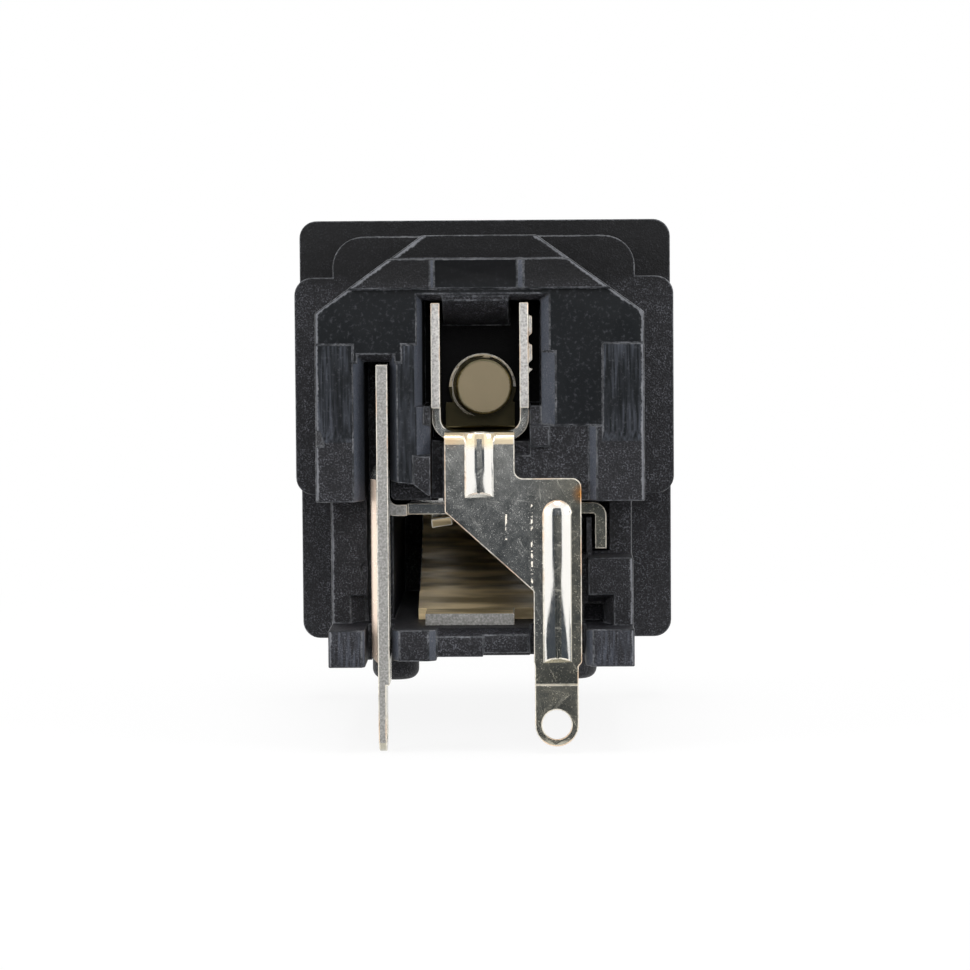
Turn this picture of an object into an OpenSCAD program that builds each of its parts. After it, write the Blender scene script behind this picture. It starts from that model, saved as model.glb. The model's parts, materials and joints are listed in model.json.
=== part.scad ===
// Right-angle DC power jack for a circuit board: one moulded housing, a turned centre pin
// and two stamped terminals. Lengths are in millimetres, and +Z is up from the board.
// Every module measures y from the housing's rear face towards the plug's mouth;
// in_frame() then moves the origin to the board plane, midway between the locating pegs.

/* [Body] */
// Width of the upper body
body_w = 9.0; // [8.6:0.1:11]
// Width of the lower body and across the feet
base_w = 8.4; // [8.2:0.1:8.6]
// Height of the body's flat top above the board
body_top = 11.83; // [11.6:0.01:12.2]
// Width of the flat top between the sloping shoulders
top_w = 3.15; // [2.6:0.05:4]
// Height at which the shoulders meet the side walls
shoulder_z = 9.72; // [9.3:0.01:10.2]
// Length from the rear face to the plug's mouth
body_len = 13.4; // [12.8:0.1:17]
// Height of the upper body's underside above the board
deck_z = 4.55; // [4.46:0.01:4.6]
// Distance that the upper body stands out behind the lower body
overhang = 1.9; // [1.7:0.1:2.2]

/* [Flanges] */
// Width of both flanges
flange_w = 11.3; // [10.8:0.1:13]
// Thickness of the front flange
flange_t = 1.6; // [1:0.1:2]
// Top edge of the front flange
flange_top = 12.33; // [12.2:0.01:13.5]
// Distance that the front flange reaches below the board plane
flange_drop = 0.45; // [0:0.05:1]
// Width of the groove between the flanges, for a case wall
groove_w = 1.6; // [1:0.1:2]
// Thickness of the rear flange
ear_t = 1.0; // [0.8:0.1:1.4]
// Top edge of the rear flange
ear_top = 10.62; // [9.8:0.01:11]
// Bottom edge of the rear flange
ear_bottom = 4.14; // [3.6:0.01:5]
// Corner radius of both flanges
flange_r = 0.52; // [0.2:0.02:0.8]
// Width of the neck in the groove
neck_w = 9.0; // [9:0.1:10]
// Radius of the neck's upper corners
neck_r = 0.9; // [0.5:0.1:1.4]

/* [Plug barrel] */
// Height of the plug's axis above the board
axis_z = 7.65; // [7.5:0.05:7.7]
// Distance of the plug's axis to the right of the middle
axis_x = 0.1; // [0:0.02:0.12]
// Diameter of the barrel
barrel_d = 6.3; // [6:0.05:6.5]
// Depth of the barrel from the mouth
barrel_depth = 9.4; // [8.8:0.1:9.6]
// Bevel round the mouth
mouth_bevel = 0.4; // [0.2:0.05:0.6]

/* [Board side] */
// Top face of the floor above the board
floor_z = 1.03; // [0.9:0.01:1.1]
// Height of the underside between the rear feet above the board
standoff = 0.17; // [0.1:0.01:0.3]
// Length of the notch between the rear feet
notch_len = 3.2; // [2.4:0.1:4]
// Diameter of the locating pegs
peg_d = 1.35; // [1.2:0.05:1.8]
// Distance between the two pegs
peg_pitch = 5.16; // [4.8:0.02:5.6]
// Length of the pegs below the board plane
peg_len = 1.0; // [0.7:0.05:2]
// Distance from the rear face to the pegs
peg_y = 6.0; // [5:0.1:8]

/* [Centre pin] */
// Diameter of the pin in the barrel
pin_d = 2.0; // [1.6:0.05:2.5]
// Diameter of the pin's rear shank
shank_d = 1.55; // [1.2:0.05:1.55]
// Diameter of the pin's root, held in the wall behind the barrel
root_d = 2.4; // [2:0.05:2.8]
// Length of the root, back from the barrel's floor
root_len = 0.95; // [0.5:0.05:1.2]
// Distance from the shank's rear end to the tongue that holds it
shank_out = 0.9; // [0.5:0.05:1.2]
// Distance from the pin's tip to the plug's mouth
tip_setback = 0.8; // [0.4:0.1:2]

/* [Pin terminal] */
// Thickness of the pin terminal's sheet
pin_sheet = 0.25; // [0.2:0.01:0.3]
// Width across the clip's two arms
clip_w = 2.68; // [2.6:0.02:3.3]
// Height of the top of the arms
clip_top = 9.98; // [9.6:0.01:10]
// Height of the clip's underside
clip_bottom = 6.19; // [6.05:0.01:6.25]
// Distance from the rear face to the tongue's front face
tongue_y = 2.45; // [2:0.05:2.6]
// Radius of the tongue's round head
tongue_r = 0.93; // [0.92:0.01:1.1]
// Width of the strip that folds down to the plate
strip_w = 1.92; // [1.6:0.02:2]
// Height of the plate's upper right edge
plate_top = 5.18; // [5:0.01:5.3]
// Distance from the middle to the plate's right edge
plate_right = 2.76; // [2.7:0.02:2.8]
// Width of the leg that runs down to the tail
leg_w = 1.32; // [1.2:0.02:1.4]
// Width of the tail below the floor
tail_w = 1.2; // [1:0.02:1.3]
// Length of the pin tail below the board plane
pin_tail_len = 2.2; // [2:0.02:4]
// Angle at which the pin tail leans to the rear
tail_lean = 8; // [0:1:12]
// Width of the beads on the plate
bead_w = 0.76; // [0.6:0.02:0.8]
// Height of the beads
bead_h = 0.19; // [0.1:0.01:0.2]

/* [Sleeve terminal] */
// Thickness of the sleeve terminal's sheet
sleeve_sheet = 0.32; // [0.25:0.01:0.4]
// Distance from the middle to the middle of the blade
blade_x = 2.68; // [2.64:0.01:2.72]
// Height of the top of the blade
blade_top = 8.31; // [7:0.01:8.4]
// Width of the blade's rear strip and tail
blade_strip_w = 1.3; // [1.1:0.05:1.4]
// Length of the sleeve tail below the board plane
sleeve_tail_len = 2.38; // [2:0.02:4]
// Width of the bead on the blade
blade_bead_w = 0.9; // [0.8:0.02:1]
// Outer face of the hooked end, from the middle
hook_x = 3.48; // [3.45:0.01:3.56]
// Height of the hook's lower end
hook_bottom = 3.09; // [3.05:0.01:3.5]
// Width of the spring's upper leaf
leaf_w = 2.5; // [2:0.05:2.7]
// Width of the spring's lower leaf
foot_leaf_w = 3.6; // [3:0.05:3.62]
// Height of the spring's crest above the bottom of the barrel
crest_rise = 0.6; // [0.5:0.02:0.7]

/* [Solder holes] */
// Diameter of the hole in each tail
solder_hole_d = 0.8; // [0.6:0.02:0.86]
// Thickness of the coined tail ends
coined_t = 0.22; // [0.15:0.01:0.25]

/* [Hidden] */
$fn = 64;
BLACK = [0.12, 0.12, 0.14];
NICKEL = [0.74, 0.71, 0.64];
PIN_METAL = [0.62, 0.58, 0.44];
eps = 0.02;             // overlap that makes a cut or a joined shape run through
seat_gap = 0.02;        // clearance where a piece is seated against the moulding
slide_gap = 0.23;       // clearance beside a sheet pushed into a slot
arc_steps = 8;          // straight steps in each rounded bend of a sheet

// Housing: barrel, flanges and pegs
flange_y = body_len - flange_t;
ear_y = flange_y - groove_w - ear_t;
barrel_r = barrel_d / 2;
barrel_y = body_len - barrel_depth;
peg_round = 0.3;        // radius of the edge of the pegs' tips

// Housing: steps, bands and panels of the rear face
step_len = 1.0;         // length of the lower step at the rear of the flat top
step_z = 11.18;         // height of that step
lip_z = 10.37;          // underside of the grained lip under the step
lip_left = -1.23;       // ends of the shallow recess in the lip
lip_right = 1.04;
lip_recess = 0.14;      // depth of that recess
panel_top = 8.86;       // top of the side panels
panel_bottom = 6.19;    // bottom of the side panels
panel_left = -3.46;     // inner edges of the two side panels
panel_right = 3.36;
panel_recess = 0.12;    // depth of the side panels
band_recess = 0.24;     // depth of the smooth band between the lip and the panels
rib_recess = 0.1;       // depth of the ribs' faces beside the clip
rib_foot_z = 5.8;       // top and left side of the block at the rib's foot
rib_foot_x = -1.83;
mouth_depth = 0.6;      // depth of the slots' bevelled mouths
mouth_spread = 0.32;    // width of those bevels at the rear face

// Housing: feet and posts
foot_bevel = 0.22;      // sloping sides of the slots in the floor
block_right = -1.23;    // right side of the block beside the sleeve tail
strip_step = 0.16;      // distance that the strip right of it stands in from the rear face
relief_h = 0.85;        // height of the reliefs in the posts
post_step_z = 2.92;     // height of the right post's step
post_left = 2.95;       // left side of that step
step_left = 3.38;       // left side of its foot
strip_mid = 0.05;       // where the strip between the feet steps in further

// Pin terminal
plate_y = 0.05;                           // the plate's rear face
arm_x = clip_w / 2;                       // outer face of each arm
clip_y = 0.45;                            // rear edge of the arms
clip_bend = 0.35;                         // inner radius of the clip's two bends
bend_y = clip_y + 0.45;                   // rear edge of those bends
bend_top = clip_bottom + 0.9;             // height at which they stand in from the arms
clip_len = tongue_y - clip_y - pin_sheet; // length of the arms
pocket_y = plate_y + pin_sheet;           // floor of the pocket that the plate lies on
strip_left = -strip_w / 2 - 0.02;
strip_right = strip_left + strip_w;
leg_left = plate_right - leg_w;
tail_x = plate_right - leg_w / 2 - 0.04;
crease_z = -0.5;                          // where the tails are coined
barbs = [[9.03, 9.64], [8.3, 8.86], [8.03, 8.2]];  // ends of the barbs on the right arm
barb_h = 0.1;                             // height of those barbs
rim_h = 0.12;                             // height of the split rim round the tongue's head
rim_t = 0.07;                             // thickness of that rim
head_x = axis_x / 2;                      // centre of the tongue's head
head_z = axis_z - 0.03;

// Clip channel in the housing
channel_left = -arm_x - slide_gap;
channel_right = arm_x + slide_gap + barb_h;
channel_top = clip_top + 0.06;
channel_foot = 7.15;                      // below this the channel holds the clip's bends
tight_x = arm_x + seat_gap;               // half the channel's width there
pocket_right = plate_right + 0.22;
pocket_top = 6.62;

// Sleeve terminal
blade_y = 0.05;                           // the blade's rear edge
blade_len = 2.95;                         // the blade's width, front to rear
saddle_top = deck_z - 0.16;
saddle_mid = saddle_top - sleeve_sheet / 2;
saddle_y = blade_y + blade_strip_w;       // rear edge of the saddle by the blade
saddle_back_y = 1.9;                      // rear edge of the rest of the saddle
saddle_front_y = blade_y + blade_len;
slot_left = -blade_x - sleeve_sheet / 2 - slide_gap - 0.12;
slot_right = -blade_x + sleeve_sheet / 2 + 2 * seat_gap;
slot_top = blade_top + 0.06;
leaf_flare = 0.14;                        // the lower leaf widens by this towards its nose
leaf_start_y = 2.7;                       // where its narrow end begins to widen
leaf_wave = 0.055;                        // height of the shallow waves across it
spring_half_w = foot_leaf_w / 2 + leaf_flare + 0.06;  // half the spring chamber's width
spring_end_y = body_len - 2.0;            // front end of the spring chamber
crest_z = axis_z - barrel_r + crest_rise;
split_z = floor_z + 2.4;                   // height at which the spring narrows to its upper leaf

// ---------------------------------------------------------------- outlines of bent sheets

function unit(v) = v / norm(v);
function left_of(v) = [-v[1], v[0]];
function flat2(p) = [p[0], p[1]];

// The points of the corner at b, rounded to radius b[2] and shifted off to the left of the path.
function corner(a, b, c, off) =
    let (u = unit(flat2(b) - flat2(a)), v = unit(flat2(c) - flat2(b)),
         turn = acos(max(-1, min(1, u * v))),
         side = u[0] * v[1] - u[1] * v[0] < 0 ? -1 : 1,
         middle = flat2(b) - u * (b[2] * tan(turn / 2)) + left_of(u) * side * b[2],
         start = atan2(-side * left_of(u)[1], -side * left_of(u)[0]))
    [for (k = [0:arc_steps])
        middle + (b[2] - side * off) * [cos(start + side * turn * k / arc_steps),
                                        sin(start + side * turn * k / arc_steps)]];

// One face of a sheet that follows an open path of [x, y, bend radius] points.
function face_of(path, off) =
    let (n = len(path) - 1)
    [for (i = [0:n])
        each i == 0 ? [flat2(path[0]) + off * left_of(unit(flat2(path[1]) - flat2(path[0])))]
           : i == n ? [flat2(path[n]) + off * left_of(unit(flat2(path[n]) - flat2(path[n - 1])))]
           : corner(path[i - 1], path[i], path[i + 1], off)];

function reversed(list) = [for (i = [len(list) - 1:-1:0]) list[i]];

// Outline of a bent sheet of thickness t whose middle line is the path.
function bent(path, t) = concat(face_of(path, t / 2), reversed(face_of(path, -t / 2)));

// A closed outline whose [x, y, radius] corners are rounded.
function rounded(points) =
    let (n = len(points))
    [for (i = [0:n - 1])
        each points[i][2] == 0 ? [flat2(points[i])]
            : corner(points[(i + n - 1) % n], points[i], points[(i + 1) % n], 0)];

// ---------------------------------------------------------------- shared shapes

module in_frame() translate([0, -peg_y, 0]) children();

// Extrudes an outline drawn in x and z from y0 to y1.
module along_y(y0, y1)
    translate([0, y1, 0]) rotate([90, 0, 0]) linear_extrude(y1 - y0) children();

// Extrudes an outline drawn in y and z from x0 to x1.
module along_x(x0, x1)
    translate([x0, 0, 0]) rotate([90, 0, 90]) linear_extrude(x1 - x0) children();

// Extrudes an outline drawn in x and y from z0 to z1.
module along_z(z0, z1) translate([0, 0, z0]) linear_extrude(z1 - z0) children();

// A block between two opposite corners.
module block(low, high) translate(low) cube(high - low);

// A plate in x and z with round corners.
module plate(x0, x1, z0, z1, r, y0, y1)
    along_y(y0, y1)
        polygon(rounded([[x0, z0, r], [x1, z0, r], [x1, z1, r], [x0, z1, r]]));

// A bar along z, the solid of a pressed bead that stands out towards -y: its top end is round
// and its lower end slopes.
module bead_bar(z0, z1, r)
    intersection() {
        union() {
            translate([0, 0, z0 - 1]) cylinder(h = z1 - z0 + 1 - r, r = r);
            translate([0, 0, z1 - r]) sphere(r = r);
        }
        along_x(-r - 1, r + 1)
            polygon([[-r - 1, z0 + 0.75], [-r + 0.5, z0 - 0.2], [r + 1, z0 - 0.2],
                     [r + 1, z1 + 1], [-r - 1, z1 + 1]]);
    }

// Radius of the circle that a bead of this width and height is part of.
function bead_r(w, h) = (w * w / 4 + h * h) / (2 * h);

// The bevelled mouth of a slot x0..x1 that is z0..z1 high: it widens towards the rear face by
// left and right, and upwards by top, but never above cap.
module mouth(x0, x1, z0, z1, left, right, top = 0, cap = 100)
    intersection() {
        along_z(z0, min(z1 + top + eps, cap))
            polygon([[x0 - left, -eps], [x1 + right, -eps], [x1, mouth_depth], [x0, mouth_depth]]);
        along_x(x0 - left - 1, x1 + right + 1)
            polygon([[-eps, z0 - 1], [mouth_depth, z0 - 1], [mouth_depth, z1], [-eps, z1 + top]]);
    }

// ---------------------------------------------------------------- housing

// Section of the upper body: flat top, sloping shoulders and upright sides.
module body_section(z0)
    polygon([[-body_w / 2, z0], [body_w / 2, z0], [body_w / 2, shoulder_z],
             [top_w / 2, body_top], [-top_w / 2, body_top], [-body_w / 2, shoulder_z]]);

module pegs()
    for (side = [-1, 1])
        translate([side * peg_pitch / 2, peg_y, -peg_len]) rotate_extrude()
            polygon(concat([[0, 0]],
                [for (k = [0:arc_steps])
                    [peg_d / 2 - peg_round + peg_round * sin(90 * k / arc_steps),
                     peg_round - peg_round * cos(90 * k / arc_steps)]],
                [[peg_d / 2, peg_len + floor_z / 2], [0, peg_len + floor_z / 2]]));

module housing_mass() {
    along_y(0, ear_y + eps) body_section(deck_z);
    // lower body, with its floor running back to the rear face
    block([-base_w / 2, overhang, 0], [base_w / 2, flange_y + eps, deck_z + eps]);
    block([-base_w / 2, 0, 0], [base_w / 2, overhang + eps, floor_z]);
    // rear flange, neck and front flange
    plate(-flange_w / 2, flange_w / 2, ear_bottom, ear_top, flange_r, ear_y, ear_y + ear_t);
    along_y(ear_y, flange_y + eps)
        polygon(rounded([[-neck_w / 2, ear_bottom, 0], [neck_w / 2, ear_bottom, 0],
                         [neck_w / 2, body_top, neck_r], [-neck_w / 2, body_top, neck_r]]));
    plate(-flange_w / 2, flange_w / 2, -flange_drop, flange_top, flange_r, flange_y, body_len);
    pegs();
}

// The plug's barrel with its bevelled mouth, and the stepped hole for the centre pin.
module barrel_cut()
    translate([axis_x, 0, axis_z]) rotate([-90, 0, 0]) {
        translate([0, 0, barrel_y]) cylinder(h = barrel_depth + eps, r = barrel_r);
        translate([0, 0, body_len - mouth_bevel])
            cylinder(h = mouth_bevel + eps, r1 = barrel_r, r2 = barrel_r + mouth_bevel + eps);
        translate([0, 0, barrel_y - root_len - seat_gap])
            cylinder(h = root_len + seat_gap + eps, d = root_d + 2 * seat_gap);
        cylinder(h = barrel_y, d = shank_d + 2 * seat_gap);
    }

// The chamber under the barrel that the hairpin spring works in.
module spring_cut() {
    roof_z = saddle_top - sleeve_sheet - 0.1;
    block([slot_right - eps, -eps, floor_z], [spring_half_w, spring_end_y, roof_z]);
    block([slot_right - eps, saddle_back_y - 0.3, floor_z],
          [spring_half_w, saddle_front_y + seat_gap, deck_z - 0.1]);
    block([-spring_half_w, saddle_back_y - 0.3, floor_z],
          [spring_half_w, spring_end_y, deck_z]);
    block([-spring_half_w, barrel_y, floor_z], [spring_half_w, spring_end_y, crest_z + 0.3]);
}

// Step, lip, band and panels moulded into the rear face.
module rear_face_cuts() {
    block([-body_w, -eps, step_z], [body_w, step_len, body_top + eps]);
    along_z(lip_z - eps, step_z + eps)
        polygon([[lip_left - 0.12, -eps], [lip_right + 0.2, -eps],
                 [lip_right, lip_recess], [lip_left, lip_recess]]);
    block([-body_w, -eps, panel_top], [body_w, band_recess, lip_z]);
    // the smooth field right of the clip, and the dip of the band over the blade's slot
    block([channel_right, -eps, pocket_top], [panel_right, band_recess, panel_top + eps]);
    block([panel_left, -eps, slot_top], [slot_right + 0.34, band_recess, panel_top + eps]);
    // side panels, with a sloping foot
    for (x = [[-body_w, panel_left], [panel_right, body_w]])
        along_x(x[0], x[1])
            polygon([[-eps, panel_bottom - 0.05], [panel_recess, panel_bottom + 0.3],
                     [panel_recess, panel_top + eps], [-eps, panel_top + eps]]);
    // face of the rib between the blade's slot and the clip, and the grained block at its foot
    block([slot_right, -eps, deck_z - eps], [rib_foot_x, rib_recess, panel_top + eps]);
    block([rib_foot_x - eps, -eps, rib_foot_z], [-tight_x, rib_recess, panel_top + eps]);
    along_y(-eps, 0.9)
        polygon([[slot_right - eps, deck_z - eps], [-tight_x + eps, deck_z - eps],
                 [-tight_x + eps, deck_z + 0.17], [rib_foot_x + 0.4, deck_z + 0.17],
                 [rib_foot_x, deck_z + 0.48], [slot_right - eps, deck_z + 0.55]]);
    // facet at the lower outer corner of the left panel
    along_z(panel_bottom - 0.1, panel_bottom + 0.3)
        polygon([[-body_w / 2 - eps, -eps], [-body_w / 2 + 0.24, -eps],
                 [-body_w / 2 - eps, panel_recess + 0.14]]);
}

// The slot that the blade is pushed into, with its bevelled mouth.
module blade_slot_cut() {
    block([slot_left, -eps, floor_z], [slot_right, saddle_front_y + seat_gap, slot_top]);
    mouth(slot_left, slot_right, deck_z - eps, slot_top,
          mouth_spread - 0.04, mouth_spread - 0.06, mouth_spread + 0.06);
}

// The channel that the clip is pushed into.
module clip_channel_cut() {
    depth = tongue_y + seat_gap;
    difference() {
        union() {
            block([channel_left, -eps, channel_foot], [channel_right, depth, channel_top]);
            block([-tight_x, -eps, clip_bottom - seat_gap], [tight_x, depth, channel_foot + eps]);
            mouth(channel_left, channel_right, channel_foot, channel_top,
                  mouth_spread - 0.06, mouth_spread + 0.1, mouth_spread, lip_z);
            mouth(channel_left, channel_right, pocket_top, panel_top - 0.22, 0, 0.7);
            mouth(-tight_x, tight_x, rib_foot_z, channel_foot, 0.46, 0);
            mouth(-tight_x, tight_x, pocket_top, channel_foot, 0, 0.46);
        }
        hanging_tongue(depth);
    }
}

// The grained tongue of moulding that hangs between the tops of the arms and slopes inwards.
module hanging_tongue(depth)
    along_x(strip_left - 0.04, strip_right - 0.14)
        polygon([[band_recess + 0.1, lip_z + eps], [band_recess + 0.1, channel_top],
                 [0.9, channel_top - 0.36], [1.7, channel_top - 0.6],
                 [depth + eps, channel_top - 0.7], [depth + eps, lip_z + eps]]);

// The pocket that the plate lies on, and the relief left of the plate.
module plate_pocket_cut() {
    block([-tight_x, -eps, deck_z - eps], [pocket_right, pocket_y, clip_bottom - 0.15]);
    block([arm_x + 0.55, -eps, clip_bottom - 0.2], [pocket_right, pocket_y, pocket_top]);
    block([-tight_x, -eps, clip_bottom - 0.2], [tight_x, pocket_y, clip_bottom + eps]);
    block([-tight_x, -eps, deck_z - eps], [strip_left - 0.05, saddle_back_y - 0.5, clip_bottom]);
    // sloping right wall
    along_z(deck_z - eps, pocket_top)
        polygon([[pocket_right - eps, -eps], [pocket_right + 0.22, -eps],
                 [pocket_right, pocket_y], [pocket_right - eps, pocket_y]]);
}

// Room for the saddle and its hooked end in the lower body.
module saddle_cuts() {
    room_y = overhang - 1.0;
    block([slot_left, room_y, saddle_mid - 0.3],
          [hook_x + 0.1, saddle_front_y + seat_gap, saddle_top + seat_gap]);
    block([hook_x - sleeve_sheet - 0.34, room_y, hook_bottom - 0.1],
          [hook_x + 0.1, saddle_front_y + seat_gap, saddle_top + seat_gap]);
    // bevel that clears the blade's bend
    along_y(room_y, saddle_front_y + seat_gap)
        polygon([[slot_right - eps, saddle_top], [slot_right + 0.25, saddle_top],
                 [slot_right - eps, saddle_top + 0.27]]);
    // the blade's rear strip passes down behind the lower body
    block([slot_left, -eps, -eps], [slot_right, overhang + eps, deck_z]);
}

// Notches, steps and slots at the feet.
module floor_cuts() {
    blade_slot = [-blade_x - sleeve_sheet / 2 - bead_h - 2 * seat_gap, slot_right + eps];
    leg_slot = [leg_left - 0.1, plate_right + 0.1];
    strip_x = [block_right, leg_slot[0] + eps];
    // the underside between the feet rises in steps
    block([blade_slot[0], -eps, -eps], [leg_slot[1], notch_len, standoff]);
    block([strip_x[0], -eps, -eps], [strip_x[1], 1.4, standoff + 0.1]);
    block([strip_mid, -eps, -eps], [strip_x[1], 1.2, standoff + 0.19]);
    // slots that the tails pass down through, with sloping sides towards the rear
    for (s = [blade_slot, leg_slot]) {
        block([s[0], -eps, -eps], [s[1], plate_y + blade_strip_w + 0.25, floor_z + eps]);
        along_z(-eps, floor_z + eps)
            polygon([[s[0] - foot_bevel, -eps], [s[1] + foot_bevel, -eps],
                     [s[1], foot_bevel + 0.1], [s[0], foot_bevel + 0.1]]);
    }
    // the strip between the slots stands in from the feet in two steps, with a sloping top
    block([strip_x[0], -eps, -eps], [strip_x[1], strip_step, floor_z + eps]);
    block([strip_mid, -eps, -eps], [strip_x[1], strip_step + 0.08, floor_z + eps]);
    along_z(-eps, floor_z + eps)
        polygon([[strip_x[0] - 0.25, -eps], [strip_x[0] + eps, -eps],
                 [strip_x[0] + eps, strip_step], [strip_x[0], strip_step]]);
    along_x(strip_x[0], strip_x[1])
        polygon([[-eps, floor_z - 0.2], [strip_step, floor_z - 0.2], [0.6, floor_z + eps],
                 [-eps, floor_z + eps]]);
    // relief in the left post, with one sloping side, and in the right post under its step
    along_z(floor_z, floor_z + relief_h - 0.08)
        polygon([[-3.68, overhang - eps], [-3.28, overhang + 0.55],
                 [slot_left + eps, overhang + 0.55], [slot_left + eps, overhang - eps]]);
    along_x(post_left - 0.1, step_left + eps)
        polygon([[overhang - eps, floor_z], [overhang + 0.7, floor_z],
                 [overhang + 0.3, floor_z + 0.52], [overhang - eps, floor_z + 0.52]]);
    // the right post stands in above its step
    block([2.4, overhang - eps, post_step_z], [base_w, overhang + 0.5, deck_z]);
    // round mark of an ejector on the left post
    along_y(overhang - eps, overhang + 0.04) translate([-3.05, 2.52]) circle(r = 0.32);
}

// The step of the right post, with a sloping underside and a bevelled foot.
module post_step() {
    step_y = overhang - 0.9;
    along_x(post_left, base_w / 2)
        polygon([[step_y, floor_z + relief_h], [overhang + 0.3, floor_z + 0.5],
                 [overhang + 0.3, post_step_z], [step_y, post_step_z]]);
    along_z(floor_z - eps, floor_z + relief_h + eps)
        polygon([[step_left, overhang + eps], [step_left + 0.28, step_y],
                 [base_w / 2, step_y], [base_w / 2, overhang + eps]]);
}

// The thin upright rib beside the hook.
module hook_rib()
    block([hook_x - sleeve_sheet - 0.24, overhang - 0.3, post_step_z - 0.1],
          [hook_x - sleeve_sheet - 0.1, saddle_front_y - 0.2, 3.98]);

module housing()
    color(BLACK) in_frame() {
        difference() {
            union() {
                housing_mass();
                post_step();
            }
            barrel_cut();
            spring_cut();
            rear_face_cuts();
            blade_slot_cut();
            clip_channel_cut();
            plate_pocket_cut();
            saddle_cuts();
            floor_cuts();
        }
        hook_rib();
    }

// ---------------------------------------------------------------- centre pin

module centre_pin()
    color(PIN_METAL) in_frame() translate([axis_x, 0, axis_z]) rotate([-90, 0, 0]) {
        rear_y = tongue_y - pin_sheet - shank_out;
        root_y = barrel_y - root_len;
        tip_y = body_len - tip_setback;
        tip_r = pin_d * 0.3;
        edge = 0.04;
        rotate_extrude()
            polygon(concat(
                [[0, rear_y], [shank_d / 2 - edge, rear_y], [shank_d / 2, rear_y + edge],
                 [shank_d / 2, root_y], [root_d / 2, root_y],
                 [root_d / 2, barrel_y], [pin_d / 2, barrel_y]],
                [for (k = [0:arc_steps])
                    [pin_d / 2 - tip_r + tip_r * cos(90 * k / arc_steps),
                     tip_y - tip_r + tip_r * sin(90 * k / arc_steps)]],
                [[0, tip_y]]));
    }

// ---------------------------------------------------------------- pin terminal

// Outline of the plate, its leg and the upper part of the tail, seen from the rear.
function plate_outline() = rounded([
    [strip_left, clip_bottom - 0.1, 0], [strip_left, 4.27, 0],
    [leg_left, 2.08, 0.1], [leg_left, 0.12, 0.05], [tail_x - tail_w / 2, 0, 0],
    [tail_x - tail_w / 2, crease_z, 0], [tail_x + tail_w / 2, crease_z, 0],
    [tail_x + tail_w / 2, 0, 0], [plate_right, 0.12, 0.05],
    [plate_right, plate_top, 0.25], [strip_right, plate_top, 0.22],
    [strip_right, clip_bottom - 0.1, 0]]);

// The U-shaped clip: two arms and the bottom between them, which stands in from the arms.
module clip() {
    mid = arm_x - pin_sheet / 2;
    bend_mid = clip_bend + pin_sheet / 2;
    floor_mid = clip_bottom + pin_sheet / 2;
    difference() {
        along_y(clip_y, clip_y + clip_len)
            polygon(bent([[-mid, clip_top], [-mid, floor_mid, bend_mid],
                          [mid, floor_mid, bend_mid], [mid, clip_top]], pin_sheet));
        block([-arm_x - eps, 0, clip_bottom - eps],
              [arm_x + eps, bend_y, bend_top]);
    }
    // barbs that bite into the slot
    for (b = barbs)
        along_y(clip_y + 0.12, clip_y + 0.7)
            polygon([[arm_x - eps, b[0]], [arm_x + barb_h, b[0] + 0.1],
                     [arm_x + barb_h, b[1] - 0.04], [arm_x - eps, b[1]]]);
}

// Fold, clip bottom and upright tongue, as one strip bent along its length.
module folded_strip() {
    floor_mid = clip_bottom + pin_sheet / 2;
    along_x(strip_left, strip_right)
        polygon(bent([[plate_y + pin_sheet / 2, clip_bottom - 0.6],
                      [plate_y + pin_sheet / 2, floor_mid, pin_sheet * 0.8],
                      [tongue_y - pin_sheet / 2, floor_mid, pin_sheet],
                      [tongue_y - pin_sheet / 2, axis_z - tongue_r / 2]], pin_sheet));
    along_y(tongue_y - pin_sheet, tongue_y)
        translate([head_x, head_z]) circle(r = tongue_r);
}

// The thin rim that is drawn up round the tongue's head: split at the top, low underneath.
module rim() {
    notches = [[0, 0.5], [-34, 0.08], [28, 0.1], [52, 0.07], [-58, 0.09], [-76, 0.12]];
    translate([head_x, tongue_y - pin_sheet, head_z]) rotate([90, 0, 0]) {
        difference() {
            translate([0, 0, -eps]) cylinder(h = rim_h + eps, r = tongue_r);
            translate([0, 0, -1]) cylinder(h = 2, r = tongue_r - rim_t);
            translate([-2, -4, -1]) cube([4, 4, 2]);
            for (n = notches)
                rotate([0, 0, n[0]]) translate([-n[1] / 2, 0.5, eps]) cube([n[1], 1, 1]);
        }
        difference() {
            translate([0, 0, -eps]) cylinder(h = 0.04 + eps, r = tongue_r - 0.04);
            translate([0, 0, -1]) cylinder(h = 2, r = tongue_r - 0.08);
            translate([-2, 0, -1]) cube([4, 4, 2]);
        }
    }
}

// Rounded ridges pressed into the plate; not solid gives the grooves behind them.
module plate_beads(solid) {
    grow = solid ? 0 : pin_sheet;
    r = bead_r(bead_w, bead_h);
    translate([(leg_left + plate_right) / 2, plate_y - bead_h + r, 0])
        bead_bar(0.13 + grow, 4.65 - grow, r - grow);
    translate([(strip_left + strip_right) / 2, plate_y - bead_h + r, 0])
        bead_bar(4.67 + grow, 6.75, r - grow);
}

// The coined end of a tail, in the plane of an outline whose first axis runs across the tail.
module coined_outline(mid, w, len, z)
    difference() {
        union() {
            translate([mid - w / 2, w / 2 - len]) square([w, len - w / 2 + z]);
            translate([mid, w / 2 - len]) circle(r = w / 2);
        }
        translate([mid, w / 2 - len]) circle(d = solder_hole_d);
    }

module pin_tail_end()
    translate([tail_x, plate_y + pin_sheet / 2, crease_z]) rotate([-tail_lean, 0, 0])
        translate([0, 0, -crease_z])
            along_y(-coined_t / 2, coined_t / 2) coined_outline(0, tail_w, pin_tail_len, crease_z + 0.02);

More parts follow.
